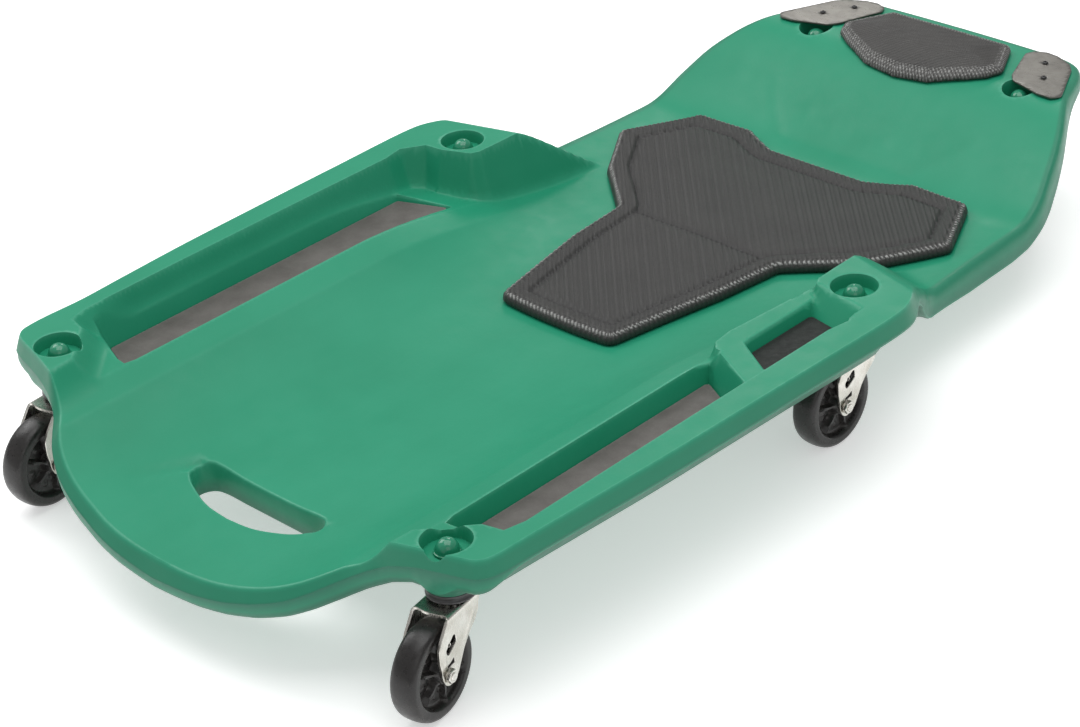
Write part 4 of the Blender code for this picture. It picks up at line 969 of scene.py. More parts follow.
def stuffed(loop, thick, voxel, cap, puff):
    """Cloth simulation of a filled cover over this outline, laid flat: returns the height of its top at plan points."""
    inner = rounded([tuple(p) for p in offset_loop(loop, .0035)], 0, 1)
    V, F, idx = triangulate([inner], [], [], inner, [])
    n = len(V)
    verts = [(p[0], p[1], thick) for p in V] + [(p[0], p[1], 0.0) for p in V]
    faces = [tuple(f) for f in F] + [(f[0] + n, f[2] + n, f[1] + n) for f in F]
    ids = [idx(p) for p in inner]
    for i in range(len(ids)):
        a, b = ids[i], ids[(i + 1) % len(ids)]
        faces.append((a, a + n, b + n, b))
    me = bpy.data.meshes.new("stuffing")
    me.from_pydata([tuple(map(float, v)) for v in verts], [], [tuple(int(i) for i in f) for f in faces])
    bm = bmesh.new()
    bm.from_mesh(me)
    bmesh.ops.recalc_face_normals(bm, faces=bm.faces)
    bm.to_mesh(me)
    bm.free()
    ob = bpy.data.objects.new("stuffing", me)
    bpy.context.scene.collection.objects.link(ob)
    rm = ob.modifiers.new("r", "REMESH")
    rm.mode = "VOXEL"
    rm.voxel_size = voxel
    dg = bpy.context.evaluated_depsgraph_get()
    me = bpy.data.meshes.new_from_object(ob.evaluated_get(dg))
    ob.modifiers.clear()
    ob.data = me
    rest = np.array([v.co for v in me.vertices])
    g = ob.vertex_groups.new(name="flat")
    low = [int(i) for i in np.flatnonzero(rest[:, 2] < voxel * .6)]
    g.add(low, 1.0, "REPLACE")                  # the underside is stapled to its board
    cl = ob.modifiers.new("c", "CLOTH")
    s = cl.settings
    s.quality = 5
    s.mass = .25
    s.tension_stiffness = 22
    s.compression_stiffness = 18
    s.shear_stiffness = 9
    s.bending_stiffness = 2.5
    s.vertex_group_mass = "flat"
    s.use_pressure = True
    s.uniform_pressure_force = puff
    s.effector_weights.gravity = 0
    cl.collision_settings.use_collision = False
    sc = bpy.context.scene
    cl.point_cache.frame_start, cl.point_cache.frame_end = 1, 20
    for f in range(1, 21):
        sc.frame_set(f)
    dg = bpy.context.evaluated_depsgraph_get()
    got = ob.evaluated_get(dg).to_mesh()
    now = np.array([v.co for v in got.vertices])
    ob.evaluated_get(dg).to_mesh_clear()
    sc.frame_set(1)
    move = now - rest
    far = np.linalg.norm(move, axis=1)
    move *= np.minimum(1, cap / np.maximum(far, 1e-9))[:, None]
    now = rest + move
    ob.modifiers.clear()
    me.vertices.foreach_set("co", now.astype(np.float32).ravel())
    sub = ob.modifiers.new("s", "SUBSURF")
    sub.levels = 1
    dg = bpy.context.evaluated_depsgraph_get()
    tree = BVHTree.FromObject(ob, dg)
    print("stuffed", len(rest), "max move", float(far.max()))

    def height(x, y):
        out = np.zeros(len(x))
        for i in range(len(x)):
            hit = tree.ray_cast(Vector((float(x[i]), float(y[i]), .2)), Vector((0, 0, -1)))
            out[i] = hit[0].z if hit[0] is not None else 0.0
        return out

    lo, hi = loop.min(0), loop.max(0)
    step = .004
    gx = np.arange(lo[0] - step, hi[0] + 2 * step, step)
    gy = np.arange(lo[1] - step, hi[1] + 2 * step, step)
    X, Y = np.meshgrid(gx, gy)
    H = height(X.ravel(), Y.ravel()).reshape(X.shape)
    for _ in range(3):                         # even out the remesh steps
        P = np.pad(H, 1, mode="edge")
        H = (P[1:-1, 1:-1] * 4 + P[:-2, 1:-1] + P[2:, 1:-1] + P[1:-1, :-2] + P[1:-1, 2:]) / 8
    bpy.data.objects.remove(ob, do_unlink=True)

    def sample(x, y):
        fx = np.clip((x - gx[0]) / step, 0, len(gx) - 1.001)
        fy = np.clip((y - gy[0]) / step, 0, len(gy) - 1.001)
        i, j = fx.astype(int), fy.astype(int)
        u, v = fx - i, fy - j
        return (H[j, i] * (1 - u) * (1 - v) + H[j, i + 1] * u * (1 - v) + H[j + 1, i] * (1 - u) * v + H[j + 1, i + 1] * u * v)

    return sample


def rib(phase, sharp=.75):
    """Rounded ridge with a narrow valley, 0..1."""
    return np.abs(np.cos(np.pi * phase)) ** sharp


def make_pad(name, half, radius, kind):
    back = kind == "back"
    raw = rounded([tuple(p) for p in mirrored(half)], radius, 14)
    loop = resample(raw, .0009)
    ang = math.radians(-45 if back else 45)            # the ribs run along this direction in plan
    u = np.array((math.cos(ang), math.sin(ang)))
    v = np.array((-u[1], u[0]))
    pitch = .0040 if back else .0031
    puffed = stuffed(resample(raw, .005), .0058, .0045 if back else .0038, .0090, 4.0)
    offs = (.0005, .0011, .0018, .0026, .0035, .0045, .0056)
    rings = [resample(offset_loop(loop, d), .0009) for d in offs]
    ctr = np.array((0.0, float(loop[:, 1].mean())))
    R = .30
    du, dv = .0008, pitch / 6
    if back:
        dv = pitch / 5
    a = np.arange(-R, R, du)
    b = np.arange(-R, R, dv)
    A, B = np.meshgrid(a, b)
    step_in = 5 if back else 1
    P = ctr + A.ravel()[:, None] * u + B.ravel()[:, None] * v
    col = np.tile(np.arange(len(a)), len(b))
    box = (np.abs(P[:, 0]) < loop[:, 0].max()) & (P[:, 1] > loop[:, 1].min()) & (P[:, 1] < loop[:, 1].max())
    P, col = P[box], col[box]
    sd = poly_sd(P[:, 0], P[:, 1], raw)
    border = .017 if back else .03
    ok = (sd < -.0063) & ((sd > -border) | (col % step_in == 0))
    P = P[ok]
    Vt, F, idx = triangulate([loop] + rings, [], P, loop, [])
    x, y = Vt[:, 0], Vt[:, 1]
    d = np.maximum(-poly_sd(x, y, raw), 0)
    base = deck_z(x, y)
    swell = puffed(x, y)
    t = d * 1000.0
    if back:
        seam_d, seam_w = 20.5, 1.5
        # edge roll, shallow dip to the welded seam, then the filled middle
        roll = .0108 - .0012 * ((t - 9.5) / 10.0) ** 2
        inner = np.maximum(swell, .0094) + .0006
        k = ss(17.0, 27.0, t)
        h = roll * (1 - k) + np.clip(inner, .0090, .0150) * k
        h = h - .0017 * np.exp(-((t - seam_d) / seam_w) ** 2)
        # crease that steps the roll 7 mm in from the edge
        h = h - .0007 * np.exp(-((t - 7.2) / .8) ** 2)
        cross = seg_dist(x, y, (-.0700, .5075), (.0700, .5075))
        yy = .5075 + .0000 * x
        crossd = np.abs(y - yy) * 1000
        inside = ss(20.0, 22.5, t)
        h = h - .0016 * np.exp(-(crossd / 1.6) ** 2) * inside - .0012 * np.exp(-(crossd / 9.0) ** 2) * inside
        r_edge, top_r = 7.5, 2.15
    else:
        h = np.clip(swell + .0012, .0090, .0150) + .0035 * ss(6.0, 34.0, t)
        seam_d, seam_w = 1e3, 1
        crossd = np.full(len(x), 1e3)
        inside = np.zeros(len(x))
        r_edge, top_r = 11.0, 2.0
    edge = edge_shape(t / r_edge, top_r)
    h = .0028 + (h - .0028) * edge
    ph = (x * v[0] + y * v[1]) / pitch
    pl = (x * u[0] + y * u[1]) / (.0026 if back else .0022)
    amp = (.00056 if back else .00050) * (.35 + .65 * ss(0.0, 1.8, t)) * (1.0 + .9 * (1 - ss(3.0, 14.0, t)))
    fine = ss(0.0, 1.2, t) * (1 - ss(border * 1000 - 4, border * 1000, t)) if back else 1.0
    bead = .5 + .5 * np.cos(2 * np.pi * (pl + .5 * np.floor(ph + .5)))
    relief = rib(ph) - .5
    h = h + amp * relief + .00022 * fine * (bead - .5) * (1.0 + .8 * (1 - ss(3.0, 12.0, t)))
    # stitched binding: slanted beads that follow the edge, raised in the relief and also painted into the colour as
    # bright glint dashes (painted highlight)
    run = np.concatenate(((0,), np.cumsum(np.hypot(*np.diff(closed(loop), axis=0).T))))[:-1]
    near = np.flatnonzero(t < 10.0)
    arc = np.zeros(len(x))
    for i in range(0, len(near), 2000):
        k = near[i:i + 2000]
        arc[k] = run[((x[k, None] - loop[None, :, 0]) ** 2 + (y[k, None] - loop[None, :, 1]) ** 2).argmin(1)] * 1000
    lean = arc / (3.9 if back else 3.3) + t * .22
    stitch = ss(.15, .75, np.cos(2 * np.pi * lean))
    if back:
        row = ss(2.2, 3.0, t) * (1 - ss(4.6, 5.4, t))
    else:
        row = ss(.1, .5, t) * (1 - ss(7.6, 9.4, t)) * (.25 + .75 * ss(-.2, .6, np.cos(2 * np.pi * t / 2.1)))
    bead_glint = stitch * row
    h = h + .00045 * bead_glint - .00025 * row
    zt = base + h
    # painted shade in the valleys between the ribs
    groove = np.clip(1.0 - rib(ph, 1.0) * 2.2, 0, 1) * .6
    # painted shade in the seam grooves and the crease
    seam = np.maximum(np.exp(-((t - seam_d) / 1.3) ** 2), np.exp(-(crossd / 1.4) ** 2) * inside)
    if back:
        seam = np.maximum(seam, .35 * np.exp(-((t - 7.2) / .7) ** 2))
    # underside: flat on the deck with a shallow hollow for its board
    q = lattice(np.arange(-.19, .191, .009), np.arange(loop[:, 1].min(), loop[:, 1].max(), .009))
    q = q[poly_sd(q[:, 0], q[:, 1], raw) < -.012]
    Vb, Fb, idb = triangulate([loop, resample(offset_loop(loop, .0012), .003), resample(offset_loop(loop, .0066), .004),
                               resample(offset_loop(loop, .0076), .004)], [], q, loop, [])
    xb, yb = Vb[:, 0], Vb[:, 1]
    db = np.maximum(-poly_sd(xb, yb, raw), 0)
    zb = deck_z(xb, yb) + np.where(db < .0006, .0028, np.where(db < .0070, .0012, .0042))
    verts = [tuple(p) for p in np.stack((x, y, zt), 1)]
    n0 = len(verts)
    remap = {idb(p): idx(p) for p in loop}
    seam_shade_a, rib_valley_shade_a, glint_a = list(seam), list(groove), list(bead_glint)
    for i in range(len(Vb)):
        if i not in remap:
            remap[i] = len(verts)
            verts.append((xb[i], yb[i], zb[i]))
            seam_shade_a.append(0.0)
            rib_valley_shade_a.append(0.0)
            glint_a.append(0.0)
    faces = [tuple(f) for f in F] + [(remap[f[0]], remap[f[2]], remap[f[1]]) for f in Fb]
    wear = np.zeros(len(verts))
    # rib crests on the edge roll lightened: rubbing wear and painted highlight where the roll catches light
    wear[:n0] = np.clip((rib(ph) - .75) * 3.0, 0, 1) * np.exp(-((t - 5.0) / 4.0) ** 2)
    ob = make(name, verts, faces, M_BACK if back else M_HEAD, "deck", [kind + "_pad"], 60,
              {"seam": seam_shade_a, "groove": rib_valley_shade_a, "glint": glint_a, "wear": wear})
    print(name, len(verts), len(faces))
    return ob


make_pad("back_pad_cover", BACK_HALF, .010, "back")
make_pad("head_pad_cover", HEAD_HALF, .009, "head")


# ------------------------------------------------------------------ flat pieces with eased edges
def plate(name, loop, z0, z1, ease, mat, body, repl, holes=(), step=.008, fn=None, smooth=40, wear=160.0, shift=True):
    """Sheet over a plan outline with rounded upper and lower edges; fn(x, y) adds relief to the top."""
    if sum(loop[i - 1][0] * loop[i][1] - loop[i][0] * loop[i - 1][1] for i in range(len(loop))) < 0:
        loop = loop[::-1]
    loop = np.array(loop)
    cuts = [np.array(h) for h in holes]
    ins = [offset_loop(loop, ease * f) for f in (.3, 1.0)]
    hin = [[offset_loop(h, -ease * f) for f in (.3, 1.0)] for h in cuts]
    lo, hi = loop.min(0), loop.max(0)
    q = lattice(np.arange(lo[0], hi[0], step), np.arange(lo[1], hi[1], step))
    q = q[poly_sd(q[:, 0], q[:, 1], loop) < -ease * 1.8]
    for h in cuts:
        q = q[poly_sd(q[:, 0], q[:, 1], h) > ease * 2]
    flat = [ins[1]] + [h[1] for h in hin]
    V, F, idx = triangulate(flat, [], q, ins[1], [h[1] for h in hin])
    n = len(V)
    add = fn(V[:, 0], V[:, 1]) if fn else np.zeros(n)
    verts = [(p[0], p[1], z1 + a) for p, a in zip(V, add)] + [(p[0], p[1], z0) for p in V]
    faces = [tuple(f) for f in F] + [(f[0] + n, f[2] + n, f[1] + n) for f in F]
    for base, half, rim in [(ins[1], ins[0], loop)] + [(h[1], h[0], c) for h, c in zip(hin, cuts)]:
        up = [idx(p) for p in base]
        rows = [up]
        for lp, z in ((half, z1 - ease * .3), (rim, z1 - ease), (rim, z0 + ease), (half, z0 + ease * .3)):
            rows.append(list(range(len(verts), len(verts) + len(lp))))
            verts += [(p[0], p[1], z) for p in lp]
        rows.append([i + n for i in up])
        for a, b in zip(rows[:-1], rows[1:]):
            for i in range(len(a)):
                j = (i + 1) % len(a)
                faces.append((a[i], b[i], b[j], a[j]))
    return make(name, verts, faces, mat, body, repl, smooth, None, wear, shift)


def tray_liner(name, tray, mirror, z, mat, kind):
    p = np.array([(mirror * a, b) for a, b in tray])
    if sum(p[i - 1][0] * p[i][1] - p[i][0] * p[i - 1][1] for i in range(len(p))) < 0:
        p = p[::-1]
    inset = offset_loop(p, .0008)
    lp = resample(rounded([tuple(q) for q in inset], .003, 6), .0016)
    gy0, gy1 = inset[:, 1].min(), inset[:, 1].max()

    def relief(x, y):
        d = np.maximum(-poly_sd(x, y, inset), 0)
        if kind == "long":       # raised border and two shallow cross grooves
            g = np.minimum(np.abs(y - (gy0 + .033)), np.abs(y - (gy1 - .033)))
            return -.00035 * np.exp(-((d - .0034) / .0006) ** 2) - .0005 * np.exp(-(g / .0008) ** 2)
        return -.00035 * (np.abs(np.cos(math.pi * (x - y) / .0060)) < .30) * ss(.002, .003, d)

    return plate(name, lp, z + .0003, z + .0021, .0005, mat, "deck", [name.replace("_mat", "_liner")],
                 step=.0016 if kind != "long" else .0020, fn=relief)


tray_liner("left_tray_mat", TRAY_L, -1, Z_TRAY, M_LINER, "long")
tray_liner("right_tray_mat", TRAY_R, 1, Z_TRAY, M_LINER, "long")
tray_liner("small_tray_mat", SMALL, 1, Z_SMALL, M_MAGNET, "small")

PLATE_PTS = [(.1585, .8080), (.1520, .8005), (.1380, .8010), (.1050, .8110), (.0975, .8200), (.0810, .8635), (.0850, .8725),
             (.0960, .8765), (.1085, .8750), (.1265, .8670), (.1345, .8580), (.1525, .8210)]
for side, sx in (("right", 1), ("left", -1)):
    lp = resample(rounded([(sx * a, b) for a, b in PLATE_PTS], .005, 8), .0014)
    plate("head_corner_plate_" + side, lp, .1318, .1336, .0005, M_PLATE, "deck", ["corner_plate_" + side],
          [circle(sx * a, b, .0020, 20) for a, b in PLATE_SCREWS], step=.004)


# ------------------------------------------------------------------ turned and hexagonal pieces
def turned(rows, n, closed_path=False):
    """Rows of (radius or function of angle, z); radius 0 makes a pole.  Returns verts, faces about Z."""
    verts, ids = [], []
    th = [2 * math.pi * i / n for i in range(n)]
    for r, z in rows:
        if not callable(r) and r < 1e-9:
            ids.append([len(verts)])
            verts.append((0, 0, z))
        else:
            ids.append(list(range(len(verts), len(verts) + n)))
            verts += [((r(t) if callable(r) else r) * math.cos(t), (r(t) if callable(r) else r) * math.sin(t), z) for t in th]
    faces = []
    m = len(ids)
    for k in range(m if closed_path else m - 1):
        a, b = ids[k], ids[(k + 1) % m]
        if len(a) == 1 and len(b) == 1:
            continue
        for i in range(n):
            j = (i + 1) % n
            if len(a) == 1:
                faces.append((a[0], b[i], b[j]))
            elif len(b) == 1:
                faces.append((a[i], a[j], b[0]))
            else:
                faces.append((a[i], a[j], b[j], b[i]))
    return np.array(verts), faces


def hexagon(flat, cap=1e9):
    def r(t):
        a = (t + math.pi / 6) % (math.pi / 3) - math.pi / 6
        return min(flat / math.cos(a), cap)
    return r


def joined(*parts):
    V, F, n = [], [], 0
    for v, f in parts:
        V.append(np.asarray(v, float))
        F += [tuple(i + n for i in q) for q in f]
        n += len(v)
    return np.concatenate(V), F


def arc(cr, cz, r, a0, a1, n):
    return [(cr + r * math.cos(math.radians(a0 + (a1 - a0) * i / n)), cz + r * math.sin(math.radians(a0 + (a1 - a0) * i / n)))
            for i in range(n + 1)]


for side, sx in (("right", 1), ("left", -1)):
    for i, (a, b) in enumerate(PLATE_SCREWS):
        rows = [(0, .1215), (.0013, .1217), (.0015, .1222), (.0015, .1339), (.0023, .1339), (.0026, .1341), (.0026, .1343)]
        rows += [(.0026 - .0010 * k / 5, .1343 + .0010 * math.sin(math.pi / 2 * k / 5)) for k in range(1, 6)]
        rows += [(.0014, .1353), (hexagon(.00105), .1352), (hexagon(.00100), .1344), (0, .1343)]
        v, f = turned(rows, 48)
        v = v + np.array((sx * a, b, 0))
        nm = "plate_screw_%s_%d" % (side, i + 1)
        make("button_screw_%s_%d" % (side, i + 1), v, f, M_SCREW, "deck", [nm], 35, None, 500.0)


# ------------------------------------------------------------------ casters
FORK_SIDE = [(-26.0, 83.0), (-28.0, 80.4), (-38.0, 68.2), (-41.2, 62.5), (-41.2, 52.0), (-38.3, 36.0), (-36.0, 31.2),
             (-32.2, 28.8), (-28.0, 29.7), (-21.5, 33.6), (-16.2, 42.0), (-12.0, 49.0), (-6.0, 55.5), (3.0, 63.0),
             (7.8, 69.0), (9.4, 76.0), (13.0, 80.6), (17.0, 83.0)]
FORK_WINDOW = [(-21.0, 68.5), (-20.6, 59.8), (-31.8, 53.0), (-33.2, 58.8)]
FORK_SQUARE = [(-24.6, 49.2), (-24.6, 44.6), (-32.0, 42.6), (-32.4, 45.4)]
FORK_HALF, FORK_T, BEND_R = 0.0157, 0.0024, 0.0032


def fork_mesh():
    """Pressed fork: one sheet drawn flat, cut, rounded at its edges and folded over the wheel."""
    arc_len = BEND_R * math.pi / 2
    vc = FORK_HALF - BEND_R                       # the crown is flat this far from the middle
    zb = .083 - BEND_R

    def v_of(z):
        return vc + arc_len + (zb - z)

    side = [(a / 1000, b / 1000) for a, b in FORK_SIDE]
    leg = [p for p in side if p[1] < .0800]
    right = [(p[0], v_of(p[1])) for p in leg]
    # crown: wide disc under the bearing
    head = [(-.0272, vc + arc_len * .55), (-.0262, vc - .001), (-.0276, .006), (-.0280, 0.0)]
    tail = [(.0128, vc + arc_len * .55), (.0165, vc - .002), (.0186, .006), (.0192, 0.0)]
    half = [head[3], head[2], head[1], head[0]] + right + tail[:3] + [tail[3]]
    rad = [0, .006, .004, .004] + [.004, .006, .006, .006, .004, .004, .003, .006, .008, .02, .012, .006, .006, .004][:len(right)] + [.004, .006, .008] + [0]
    loop = [(p[0], p[1]) for p in half] + [(p[0], -p[1]) for p in half[1:-1][::-1]]
    rr = rad + rad[1:-1][::-1]
    outline = resample(rounded(loop, rr, 6), .0012)
    if sum(outline[i - 1][0] * outline[i][1] - outline[i][0] * outline[i - 1][1] for i in range(len(outline))) < 0:
        outline = outline[::-1]
    holes = []
    for s in (1, -1):
        for h, r in ((FORK_WINDOW, .0022), (FORK_SQUARE, .0009)):
            q = [(a / 1000, s * v_of(b / 1000)) for a, b in h]
            lp = resample(rounded(q, r, 5), .0008)
            if sum(lp[i - 1][0] * lp[i][1] - lp[i][0] * lp[i - 1][1] for i in range(len(lp))) < 0:
                lp = lp[::-1]
            holes.append(lp)
        holes.append(circle(-.0290, s * v_of(.0615), .0013, 14))
        holes.append(circle(-TRAIL, s * v_of(.038), .0034, 24))
    holes.append(circle(0, 0, .0045, 24))
    ease = .00035
    inset = offset_loop(outline, ease)
    hin = [offset_loop(h, -ease) for h in holes]
    q = lattice(np.arange(-.045, .022, .0016), np.arange(-.080, .0801, .0016))
    q = np.concatenate([q, lattice(np.arange(-.030, .022, .0016),
                                   np.concatenate([s * (vc + arc_len * np.linspace(0, 1, 9)) for s in (1, -1)]))])
    q = q[poly_sd(q[:, 0], q[:, 1], inset) < -.0006]
    for h in hin:
        q = q[poly_sd(q[:, 0], q[:, 1], h) > .0006]
    V, F, idx = triangulate([inset] + hin, [], q, inset, hin)

    def fold(p, off):
        """Sheet point and distance below the outer face, to (x, y, z)."""
        p = np.asarray(p, float)
        y, v = p[:, 0], p[:, 1]
        s, a = np.sign(v), np.abs(v)
        ang = np.clip((a - vc) / arc_len, 0, 1) * math.pi / 2
        x = np.minimum(a, vc) + BEND_R * np.sin(ang)
        z = .083 - BEND_R + BEND_R * np.cos(ang) - np.maximum(a - vc - arc_len, 0)
        nx, nz = np.sin(ang), np.cos(ang)
        # pressed forms: hub boss pushed in, stiffening dish below the crown, rolled crown lip
        r = np.hypot(y + TRAIL, z - .038)
        emb = -.0007 * (1 - ss(.0070, .0098, r)) * (ang > 1.5)
        rib_d = np.minimum(seg_dist(y, z, (-.0362, .0600), (-.0352, .0445)), 9)
        emb = emb + .0006 * np.exp(-(rib_d / .0011) ** 2) * (ang > 1.5)
        emb = emb + .0005 * np.exp(-(seg_dist(y, z, (.0015, .0700), (-.0100, .0560)) / .0014) ** 2) * (ang > 1.5)
        rc = np.hypot(y, x * (ang < .5) + 9 * (ang >= .5))
        emb = emb - .0006 * ss(.0120, .0098, rc)
        d = emb - off
        return np.stack((s * (x + nx * d), y, z + nz * d), 1)

    n = len(V)
    top = fold(V, np.zeros(n))
    low = fold(V, np.full(n, FORK_T))
    verts = [tuple(p) for p in top] + [tuple(p) for p in low]
    faces = [tuple(f) for f in F] + [(f[0] + n, f[2] + n, f[1] + n) for f in F]
    for base, rim in [(inset, outline)] + list(zip(hin, holes)):
        up = [idx(p) for p in base]
        rows = [up]
        for off in (ease, FORK_T - ease):
            rows.append(list(range(len(verts), len(verts) + len(rim))))
            verts += [tuple(p) for p in fold(rim, np.full(len(rim), off))]
        rows.append([i + n for i in up])
        for a, b in zip(rows[:-1], rows[1:]):
            for i in range(len(a)):
                j = (i + 1) % len(a)
                faces.append((a[i], b[i], b[j], a[j]))
    return np.array(verts), faces


def wheel_mesh():
    """Moulded wheel about X through the origin: hub, six spokes over a recessed web, rim band and rounded tread."""
    n = 96
    th = np.arange(n) * 2 * math.pi / n
    rr = np.array([.00345, .0060, .0070, .0074, .0077, .0081, .0086, .0092, .0100, .0112, .0126, .0142, .0160, .0180, .0200,
                   .0216, .0230, .0241, .0250, .0256, .0261, .0266, .0271, .0276, .0281, .0285, .0290, .0296, .0310,
                   .0326, .0333])
    hub = .0124
    prof = np.interp(rr, [.0034, .0068, .0074, .0077, .0092, .0100, .0248, .0262, .0276, .0284, .0292, .0334],
                     [hub, hub, hub - .0003, hub - .0012, .0062, .0046, .0042, .0050, .0090, .0103, WHEEL_W / 2, WHEEL_W / 2])
    R, T = np.meshgrid(rr, th, indexing="ij")
    P = np.repeat(prof[:, None], n, 1)
    spoke = np.zeros_like(R)
    for k in range(6):
        a = T - k * math.pi / 3 - .26
        across = np.abs(R * np.sin(a)) * (np.cos(a) > 0) + 9 * (np.cos(a) <= 0)
        spoke = np.maximum(spoke, 1 - ss(.0010, .0022, across))
    height = np.interp(R, [.0074, .0100, .0262, .0285], [.0112, .0095, .0086, .0102])
    P = np.where((R > .0078) & (R < .0284), np.maximum(P, P + (height - P) * spoke), P)
    # small drain bosses between spokes
    for k in range(6):
        a = k * math.pi / 3 + .26 + math.pi / 6
        dd = np.hypot(R * np.cos(T) - .0190 * math.cos(a), R * np.sin(T) - .0190 * math.sin(a))
        P = P + .0016 * (1 - ss(.0012, .0026, dd)) * (R > .012) * (R < .026)
    rows = []
    for s in (1,):
        for i in range(len(rr)):
            rows.append((rr[i], P[i]))
    tread_r = [.0345, .0354, .0362, .0368, .0373, .03765, .0379, .0380]
    tread_x = [.0104, .0098, .0090, .0079, .0065, .0048, .0027, .0009]
    for r, x in zip(tread_r, tread_x):
        rows.append((r, np.full(n, x)))
    full = rows + [(r, -x) for r, x in rows[::-1]]
    verts, faces = [], []
    for r, x in full:
        for j in range(n):
            verts.append((x[j], r * math.cos(th[j]), r * math.sin(th[j])))
    m = len(full)
    for k in range(m):
        a, b = k * n, ((k + 1) % m) * n
        for j in range(n):
            q = (j + 1) % n
            faces.append((a + j, a + q, b + q, b + j))
    return np.array(verts), faces


def about_x(part, y=0.0, z=0.0):
    v, f = part
    return np.stack((v[:, 2], v[:, 1] + y, v[:, 0] * -1 + z), 1), f


def tube_rows(r0, r1, x, c):
    return [(r0, -x + c), (r0 + c, -x), (r1 - c, -x), (r1, -x + c), (r1, x - c), (r1 - c, x), (r0 + c, x), (r0, x - c)]


FORK = fork_mesh()
WHEEL = wheel_mesh()
SLEEVE = turned(tube_rows(.00325, .0053, .01305, .0003), 48, True)
A = FORK_HALF
AXLE = joined(turned([(0, -A - .0035), (hexagon(.0046, .0040), -A - .0035), (hexagon(.0048, .0048), -A - .0032),
                      (hexagon(.0048), -A - .0026), (hexagon(.0048), -A - .0009), (.0056, -A - .0009), (.0056, -A - .0004),
                      (.0030, -A - .0004), (.0030, A + .0004), (.0056, A + .0004), (.0056, A + .0009), (hexagon(.0048), A + .0009),
                      (hexagon(.0048), A + .0029), (hexagon(.0047, .0047), A + .0034), (.0036, A + .0034), (.0031, A + .0031),
                      (.0028, A + .0031), (.0028, A + .0037), (.0025, A + .0040), (0, A + .0040)], 48))
KINGPIN = turned([(0, .0752), (hexagon(.0056, .0060), .0752), (hexagon(.0060, .0067), .0757), (hexagon(.0062), .0763),
                  (hexagon(.0062), .0796), (.0060, .0801), (.0041, .0801)]
                 + [(.0041 - .00022 * (k % 2), .0835 + .0008 * k) for k in range(49)] + [(.0036, .1236), (.0033, .1238), (0, .1238)], 48)
CUP = turned([(.0050, .0917), (.0050, .0890), (.0060, .0886), (.0150, .0886), (.0158, .0882), (.0164, .0872), (.0167, .0860),
              (.0168, .0852), (.0172, .0848), (.0180, .0848), (.0186, .0853), (.0187, .0862), (.0183, .0868), (.0181, .0880),
              (.0183, .0892), (.0186, .0898), (.0186, .0911), (.0181, .0916), (.0175, .0917)], 72, True)
CAPNUT = turned([(.0045, .1168), (.0098, .1168), (.0101, .1171), (.0101, .1181), (.0098, .1184), (.0092, .1185), (.0090, .1188)]
                + [(.0088 * math.cos(math.radians(a)), .1190 + .0087 * math.sin(math.radians(a))) for a in (8, 18, 28, 38, 48, 58, 68, 78, 85)]
                + [(0, .1277), (0, .1244), (.0040, .1244), (.0045, .1240)], 56, True)


def ball_set():
    parts = [turned([(.0103, .0843), (.0112, .0838), (.0138, .0838), (.0147, .0843), (.0147, .0847), (.0103, .0847)], 48, True)]
    rows = [(0, -.0021)] + [(.0021 * math.cos(math.radians(a)), .0021 * math.sin(math.radians(a))) for a in (-70, -50, -30, -10, 10, 30, 50, 70)] + [(0, .0021)]
    v, f = turned(rows, 14)
    for k in range(15):
        a = 2 * math.pi * k / 15
        parts.append((v + np.array((.0125 * math.cos(a), .0125 * math.sin(a), .08665)), f))
    return joined(*parts)


BALLS = ball_set()
for name, (cx, cy) in CASTERS.items():
    th = math.radians(-SWIVEL[name])
    Rz = np.array(Matrix.Rotation(th, 3, "Z"))
    at = np.array((cx, cy, 0.0))

    def put(part, off=(0, 0, 0)):
        v, f = part
        return (v + np.array(off)) @ Rz.T + at, f

    hub = (0, -TRAIL, .038)
    spin = .35 + 1.1 * (sorted(CASTERS).index(name))
    Rx = np.array(Matrix.Rotation(spin, 3, "X"))
    v, f = put(FORK)
    make("stamped_fork_" + name, v, f, M_ZINC, "swivel_" + name, ["fork_" + name], 32, None, 260.0)
    v, f = put((WHEEL[0] @ Rx.T, WHEEL[1]), hub)
    make("moulded_wheel_" + name, v, f, M_WHEEL, "roll_" + name, ["wheel_" + name], 38, None, 260.0)
    v, f = put(about_x(SLEEVE), hub)
    make("hub_sleeve_" + name, v, f, M_BALL, "roll_" + name, (), 35, None, 500.0)
    v, f = put(about_x(AXLE), hub)
    make("axle_bolt_" + name, v, f, M_ZINC, "swivel_" + name, ["axle_" + name], 30, None, 500.0)
    v, f = put(KINGPIN)
    make("kingpin_bolt_" + name, v, f, M_ZINC, "deck", ["kingpin_" + name], 35, None, 500.0)
    v, f = put(CUP)
    make("swivel_cup_" + name, v, f, M_CUP, "deck", ["raceway_cup_" + name], 40, None, 400.0)
    v, f = put(CAPNUT)
    make("dome_cap_" + name, v, f, M_CAP, "deck", ["cap_nut_" + name], 40, None, 300.0)
    v, f = put(BALLS)
    make("swivel_balls_" + name, v, f, M_BALL, "swivel_" + name, ["ball_ring_" + name], 40, None, 900.0)

# ------------------------------------------------------------------ boards under the pads keep their CAD shape
for n in ("back_pad_base", "head_pad_base"):
    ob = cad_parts[n]
    ob.data.materials.clear()
    ob.data.materials.append(M_BOARD)

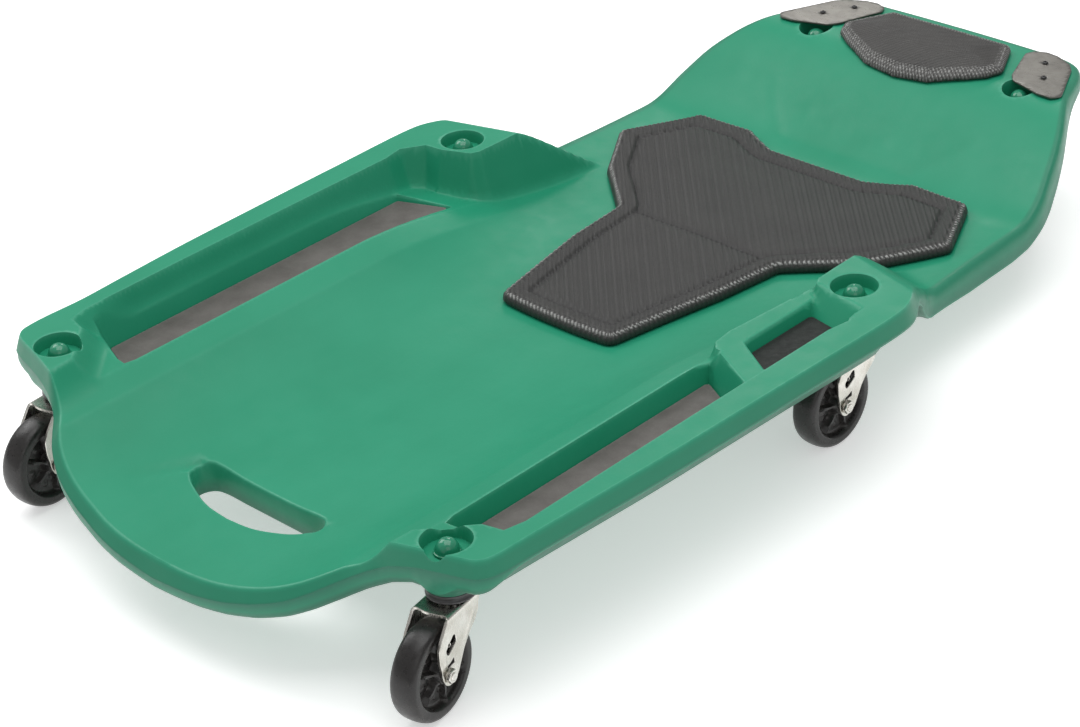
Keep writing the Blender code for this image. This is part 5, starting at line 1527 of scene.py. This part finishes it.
# ------------------------------------------------------------------ floor, light and camera
WORLD = .40
LIGHTS = [
    ("key_soft", (-2.3, -.2, 2.1), (0, 0, .1), 1.6, 26),
    ("back_strip", (-1.5, 2.0, 1.7), (0, .1, .1), .55, 5),
    ("fill_near", (1.9, -1.4, 1.6), (0, -.1, .1), 1.6, 5),
    ("top_wide", (.1, .1, 3.0), (0, 0, .1), 2.8, 52),
]
floor_m = Mat("pale_floor", .75)
floor_m.b.inputs["Emission Color"].default_value = (1, 1, 1, 1)
floor_m.b.inputs["Emission Strength"].default_value = .46
floor_m.color(floor_m.ramp(floor_m.noise(1.6, 2.0), (.2, (.90, .90, .90)), (.8, (.93, .93, .93))))
me = bpy.data.meshes.new("studio_floor")
N = 24
gv, gf = [], []
for j in range(N + 1):
    t = j / N
    y = -6.0 + 12.0 * t
    z = 0.0
    for i in range(N + 1):
        gv.append((-6.0 + 12.0 * i / N, y, z))
for j in range(N):
    for i in range(N):
        k = j * (N + 1) + i
        gf.append((k, k + 1, k + N + 2, k + N + 1))
me.from_pydata(gv, [], gf)
me.materials.append(floor_m.m)
floor = bpy.data.objects.new("studio_floor", me)
bpy.context.scene.collection.objects.link(floor)

bpy.context.scene.view_settings.view_transform = "Standard"
world = bpy.data.worlds.new("studio")
bpy.context.scene.world = world
world.use_nodes = True
world.node_tree.nodes["Background"].inputs["Color"].default_value = (1, 1, 1, 1)
world.node_tree.nodes["Background"].inputs["Strength"].default_value = WORLD


def area(name, loc, target, size, power, size_y=None):
    d = bpy.data.lights.new(name, "AREA")
    d.energy = power
    d.size = size
    if size_y:
        d.shape = "RECTANGLE"
        d.size_y = size_y
    o = bpy.data.objects.new(name, d)
    o.location = loc
    o.rotation_mode = "QUATERNION"
    o.rotation_quaternion = (Vector(target) - Vector(loc)).to_track_quat("-Z", "Y")
    bpy.context.scene.collection.objects.link(o)
    return o


for spec in LIGHTS:
    area(*spec)

cam_d = bpy.data.cameras.new("camera")
cam_d.sensor_fit = "HORIZONTAL"
cam_d.sensor_width = 36.0
cam_d.lens = 93.47
cam = bpy.data.objects.new("camera", cam_d)
a, e, roll = .80997, .53053, -.080944
back = Vector((math.sin(a) * math.cos(e), -math.cos(a) * math.cos(e), math.sin(e)))
right = Vector((math.cos(a), math.sin(a), 0))
up = back.cross(right)
r = math.cos(roll) * right + math.sin(roll) * up
u = -math.sin(roll) * right + math.cos(roll) * up
M = Matrix((r, u, back)).transposed().to_4x4()
M.translation = Vector((1.42759, -1.44122, 1.19830))
cam.matrix_world = M
cam_d.clip_start, cam_d.clip_end = .05, 50
bpy.context.scene.collection.objects.link(cam)
bpy.context.scene.camera = cam
